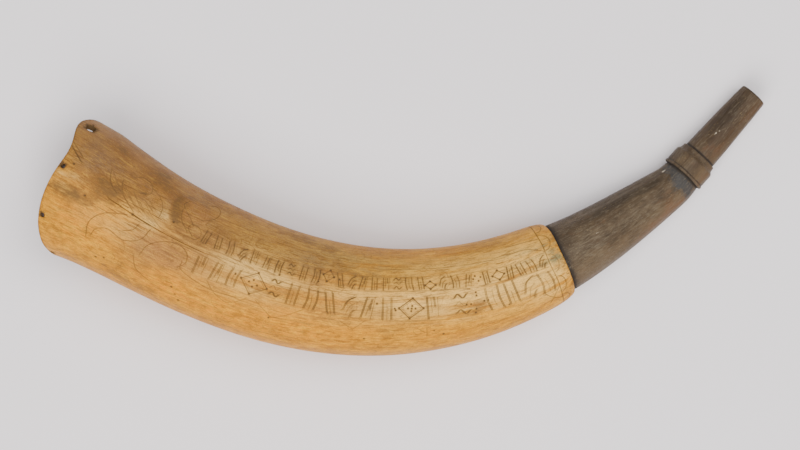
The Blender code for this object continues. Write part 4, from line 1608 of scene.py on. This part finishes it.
def dark_horn(groups):
    """Neck, ring and spout: dark brown horn with grey bloom, rasp lines and blue-grey dirt, and
    painted shade inside the bend and in the grooves.
    """
    material, tree, shader = new_material("dark_horn", 0.5, 0.2)
    place = tree.attribute("straight", vector=True)
    fibres = use_group(tree, groups["fibres"], place, Broad=0.7, Fine=2.6, Waviness=2.0)
    blotch = place.drawn_noise(0.11, 0.2, 6.0, 0.66)
    coat = Coat(
        tree, blotch, (0.3, (0.042, 0.027, 0.014)), (0.5, (0.074, 0.049, 0.026)),
        (0.7, (0.118, 0.082, 0.045)),
    )
    lay_neck_tones(coat, place, fibres["Streaks"], blotch)
    threads = lay_neck_bloom(coat, place, fibres["Lines"])
    scratches = use_group(tree, groups["scratches"], place, Scale=0.8, Amount=1.0)["Mask"]
    coat.lay((0.22, 0.18, 0.12), scratches, 0.35)
    specks = use_group(tree, groups["specks"], place, Scale=0.9, Size=0.22, Amount=0.8)["Mask"]
    coat.lay((0.28, 0.2, 0.09), specks)
    chipped = tree.attribute("pale") + (place.noise(1.4, 3.0) - 0.5)
    chips = chipped.between(0.66, 0.8)
    coat.lay((0.58, 0.5, 0.36), chips)
    # Grime, with painted shade in the grooves at the step and ring
    grime_and_shade = use_group(tree, groups["grime_and_shade"], place, Mask=tree.attribute("grime_and_shade"))["Mask"]
    coat.lay((0.024, 0.019, 0.015), grime_and_shade, 0.85)
    tree.put(shader.inputs["Base Color"], coat.colour)
    rough = 0.38 + place.noise(0.5, 4.0, 0.6) * 0.3
    tree.put(shader.inputs["Roughness"], rough + grime_and_shade * 0.2)
    normal = (fibres["Height"] + threads).bump(0.6, 0.25)
    dents = 0.0 - specks.most(scratches).most(chips)
    normal = dents.bump(0.5, 0.15, normal)
    normal = (blotch + place.noise(2.0, 4.0, 0.65)).bump(0.3, 0.2, normal)
    tree.put(shader.inputs["Normal"], normal)
    return material


def raw_horn(groups):
    """The inside: unpolished horn, dulled by powder."""
    material, tree, shader = new_material("raw_horn", 0.75, 0.3)
    place = tree.attribute("straight", vector=True)
    fibres = use_group(tree, groups["fibres"], place, Broad=0.4, Fine=1.6, Waviness=2.0)
    coat = Coat(tree, fibres["Streaks"], (0.32, (0.2, 0.125, 0.065)), (0.66, (0.36, 0.245, 0.13)))
    coat.lay((0.07, 0.055, 0.045), place.noise(0.2, 5.0, 0.65).between(0.45, 0.7), 0.6)
    tree.put(shader.inputs["Base Color"], coat.colour)
    tree.put(shader.inputs["Normal"], fibres["Height"].bump(0.7, 0.35))
    return material


def old_wood(groups):
    """The plug: brown old wood with growth lines, pores and dirt in its low parts."""
    material, tree, shader = new_material("old_wood", 0.62, 0.3)
    place = tree.attribute("straight", vector=True)
    fibres = use_group(tree, groups["fibres"], place, Broad=0.8, Fine=3.0, Waviness=1.5)
    coat = Coat(
        tree, fibres["Streaks"], (0.32, (0.085, 0.042, 0.02)), (0.5, (0.16, 0.083, 0.038)),
        (0.68, (0.25, 0.14, 0.068)),
    )
    coat.lay((0.045, 0.024, 0.013), fibres["Lines"], 0.7)
    specks = use_group(tree, groups["specks"], place, Scale=1.2, Size=0.25, Amount=0.7)["Mask"]
    coat.lay((0.035, 0.02, 0.012), specks)
    worn = place.noise(0.12, 4.0, 0.6).between(0.45, 0.65)
    coat.lay((0.3, 0.19, 0.105), worn, 0.35)
    tree.put(shader.inputs["Base Color"], coat.colour)
    tree.put(shader.inputs["Roughness"], 0.5 + place.noise(0.6, 3.0) * 0.3)
    normal = fibres["Height"].bump(0.8, 0.4)
    tree.put(shader.inputs["Normal"], (0.0 - specks).bump(0.5, 0.2, normal))
    return material


def forged_iron():
    """The pins: dark forged iron gone brown with rust in patches."""
    material, tree, shader = new_material("forged_iron", 0.6, 0.5)
    place = tree.attribute("straight", vector=True)
    patch = place.noise(0.9, 5.0, 0.65)
    rust = patch.between(0.42, 0.6)
    fine = place.noise(3.5, 4.0, 0.6)
    iron = tree.ramp(fine, (0.35, (0.028, 0.025, 0.025)), (0.65, (0.075, 0.066, 0.062)))
    brown = tree.ramp(fine, (0.35, (0.022, 0.012, 0.009)), (0.65, (0.075, 0.038, 0.022)))
    tree.put(shader.inputs["Base Color"], tree.mix(rust, iron, brown))
    tree.put(shader.inputs["Metallic"], 0.7 - rust * 0.65)
    tree.put(shader.inputs["Roughness"], 0.42 + rust * 0.4)
    tree.put(shader.inputs["Normal"], (patch + fine * 0.4).bump(0.7, 0.25))
    return material


# ---------------------------------------------------------------- table, light and camera


def make_table():
    """A plain pale table top under the horn."""
    size = 6.0
    mesh = bpy.data.meshes.new("table")
    corners = np.array([(x, y, 0) for x, y in ((-1, -1), (1, -1), (1, 1), (-1, 1))]) * size / 2
    mesh.from_pydata(corners, [], [(0, 1, 2, 3)])
    material, _, shader = new_material("table_paper", 0.9, 0.1)
    shader.inputs["Base Color"].default_value = (0.95, 0.908, 0.915, 1.0)
    mesh.materials.append(material)
    table = bpy.data.objects.new("table", mesh)
    bpy.context.scene.collection.objects.link(table)


def add_light(name, place, size, power, colour=(1, 1, 1)):
    """A square soft light at a place, facing the middle of the horn."""
    light = bpy.data.lights.new(name, "AREA")
    light.size = size
    light.energy = power
    light.color = colour
    lamp = bpy.data.objects.new(name, light)
    lamp.location = place
    lamp.rotation_euler = lamp.location.to_track_quat("Z", "Y").to_euler()
    bpy.context.scene.collection.objects.link(lamp)


def make_light():
    """Soft studio light: a wide one towards the belly side, a weaker one above, pale walls."""
    add_light("window", (-0.30, -0.95, 1.55), 1.3, 32.0, (1.0, 0.975, 0.965))
    add_light("ceiling", (0.55, 0.30, 2.1), 1.8, 43.0, (1.0, 0.985, 0.985))
    world = bpy.data.worlds.new("studio")
    world.use_nodes = True
    background = world.node_tree.nodes["Background"]
    background.inputs["Color"].default_value = (0.93, 0.94, 1.0, 1.0)
    background.inputs["Strength"].default_value = 0.40
    bpy.context.scene.world = world


def make_camera():
    """A camera straight above the horn, with its view's top towards the bend's inner side."""
    camera = bpy.data.cameras.new("camera")
    camera.sensor_width = 36.0
    camera.lens = 135.0
    eye = bpy.data.objects.new("camera", camera)
    low, high = (np.array(corner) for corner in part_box("horn"))
    eye.location = (*((low + high)[:2] / 2 + (-0.0027, -0.0026)), 1.53)
    bpy.context.scene.collection.objects.link(eye)
    bpy.context.scene.camera = eye


def main():
    """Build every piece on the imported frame, then the table, light and camera."""
    groups = {
        "fibres": fibre_group(), "scratches": scratch_group(), "specks": speck_group(),
        "grime_and_shade": grime_and_shade_group(),
    }
    horn = make_horn([scraped_horn(groups), dark_horn(groups), raw_horn(groups)])
    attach(horn, "root")
    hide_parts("horn")
    plug = make_plug(old_wood(groups))
    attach(plug, "root")
    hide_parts("base_plug")
    iron = forged_iron()
    for number, (point, inward) in enumerate(pin_axes(), 1):
        pin = make_pin(number, point, inward, iron)
        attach(pin, "root")
        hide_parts(f"base_nail_{number}")
    make_table()
    make_light()
    make_camera()


main()
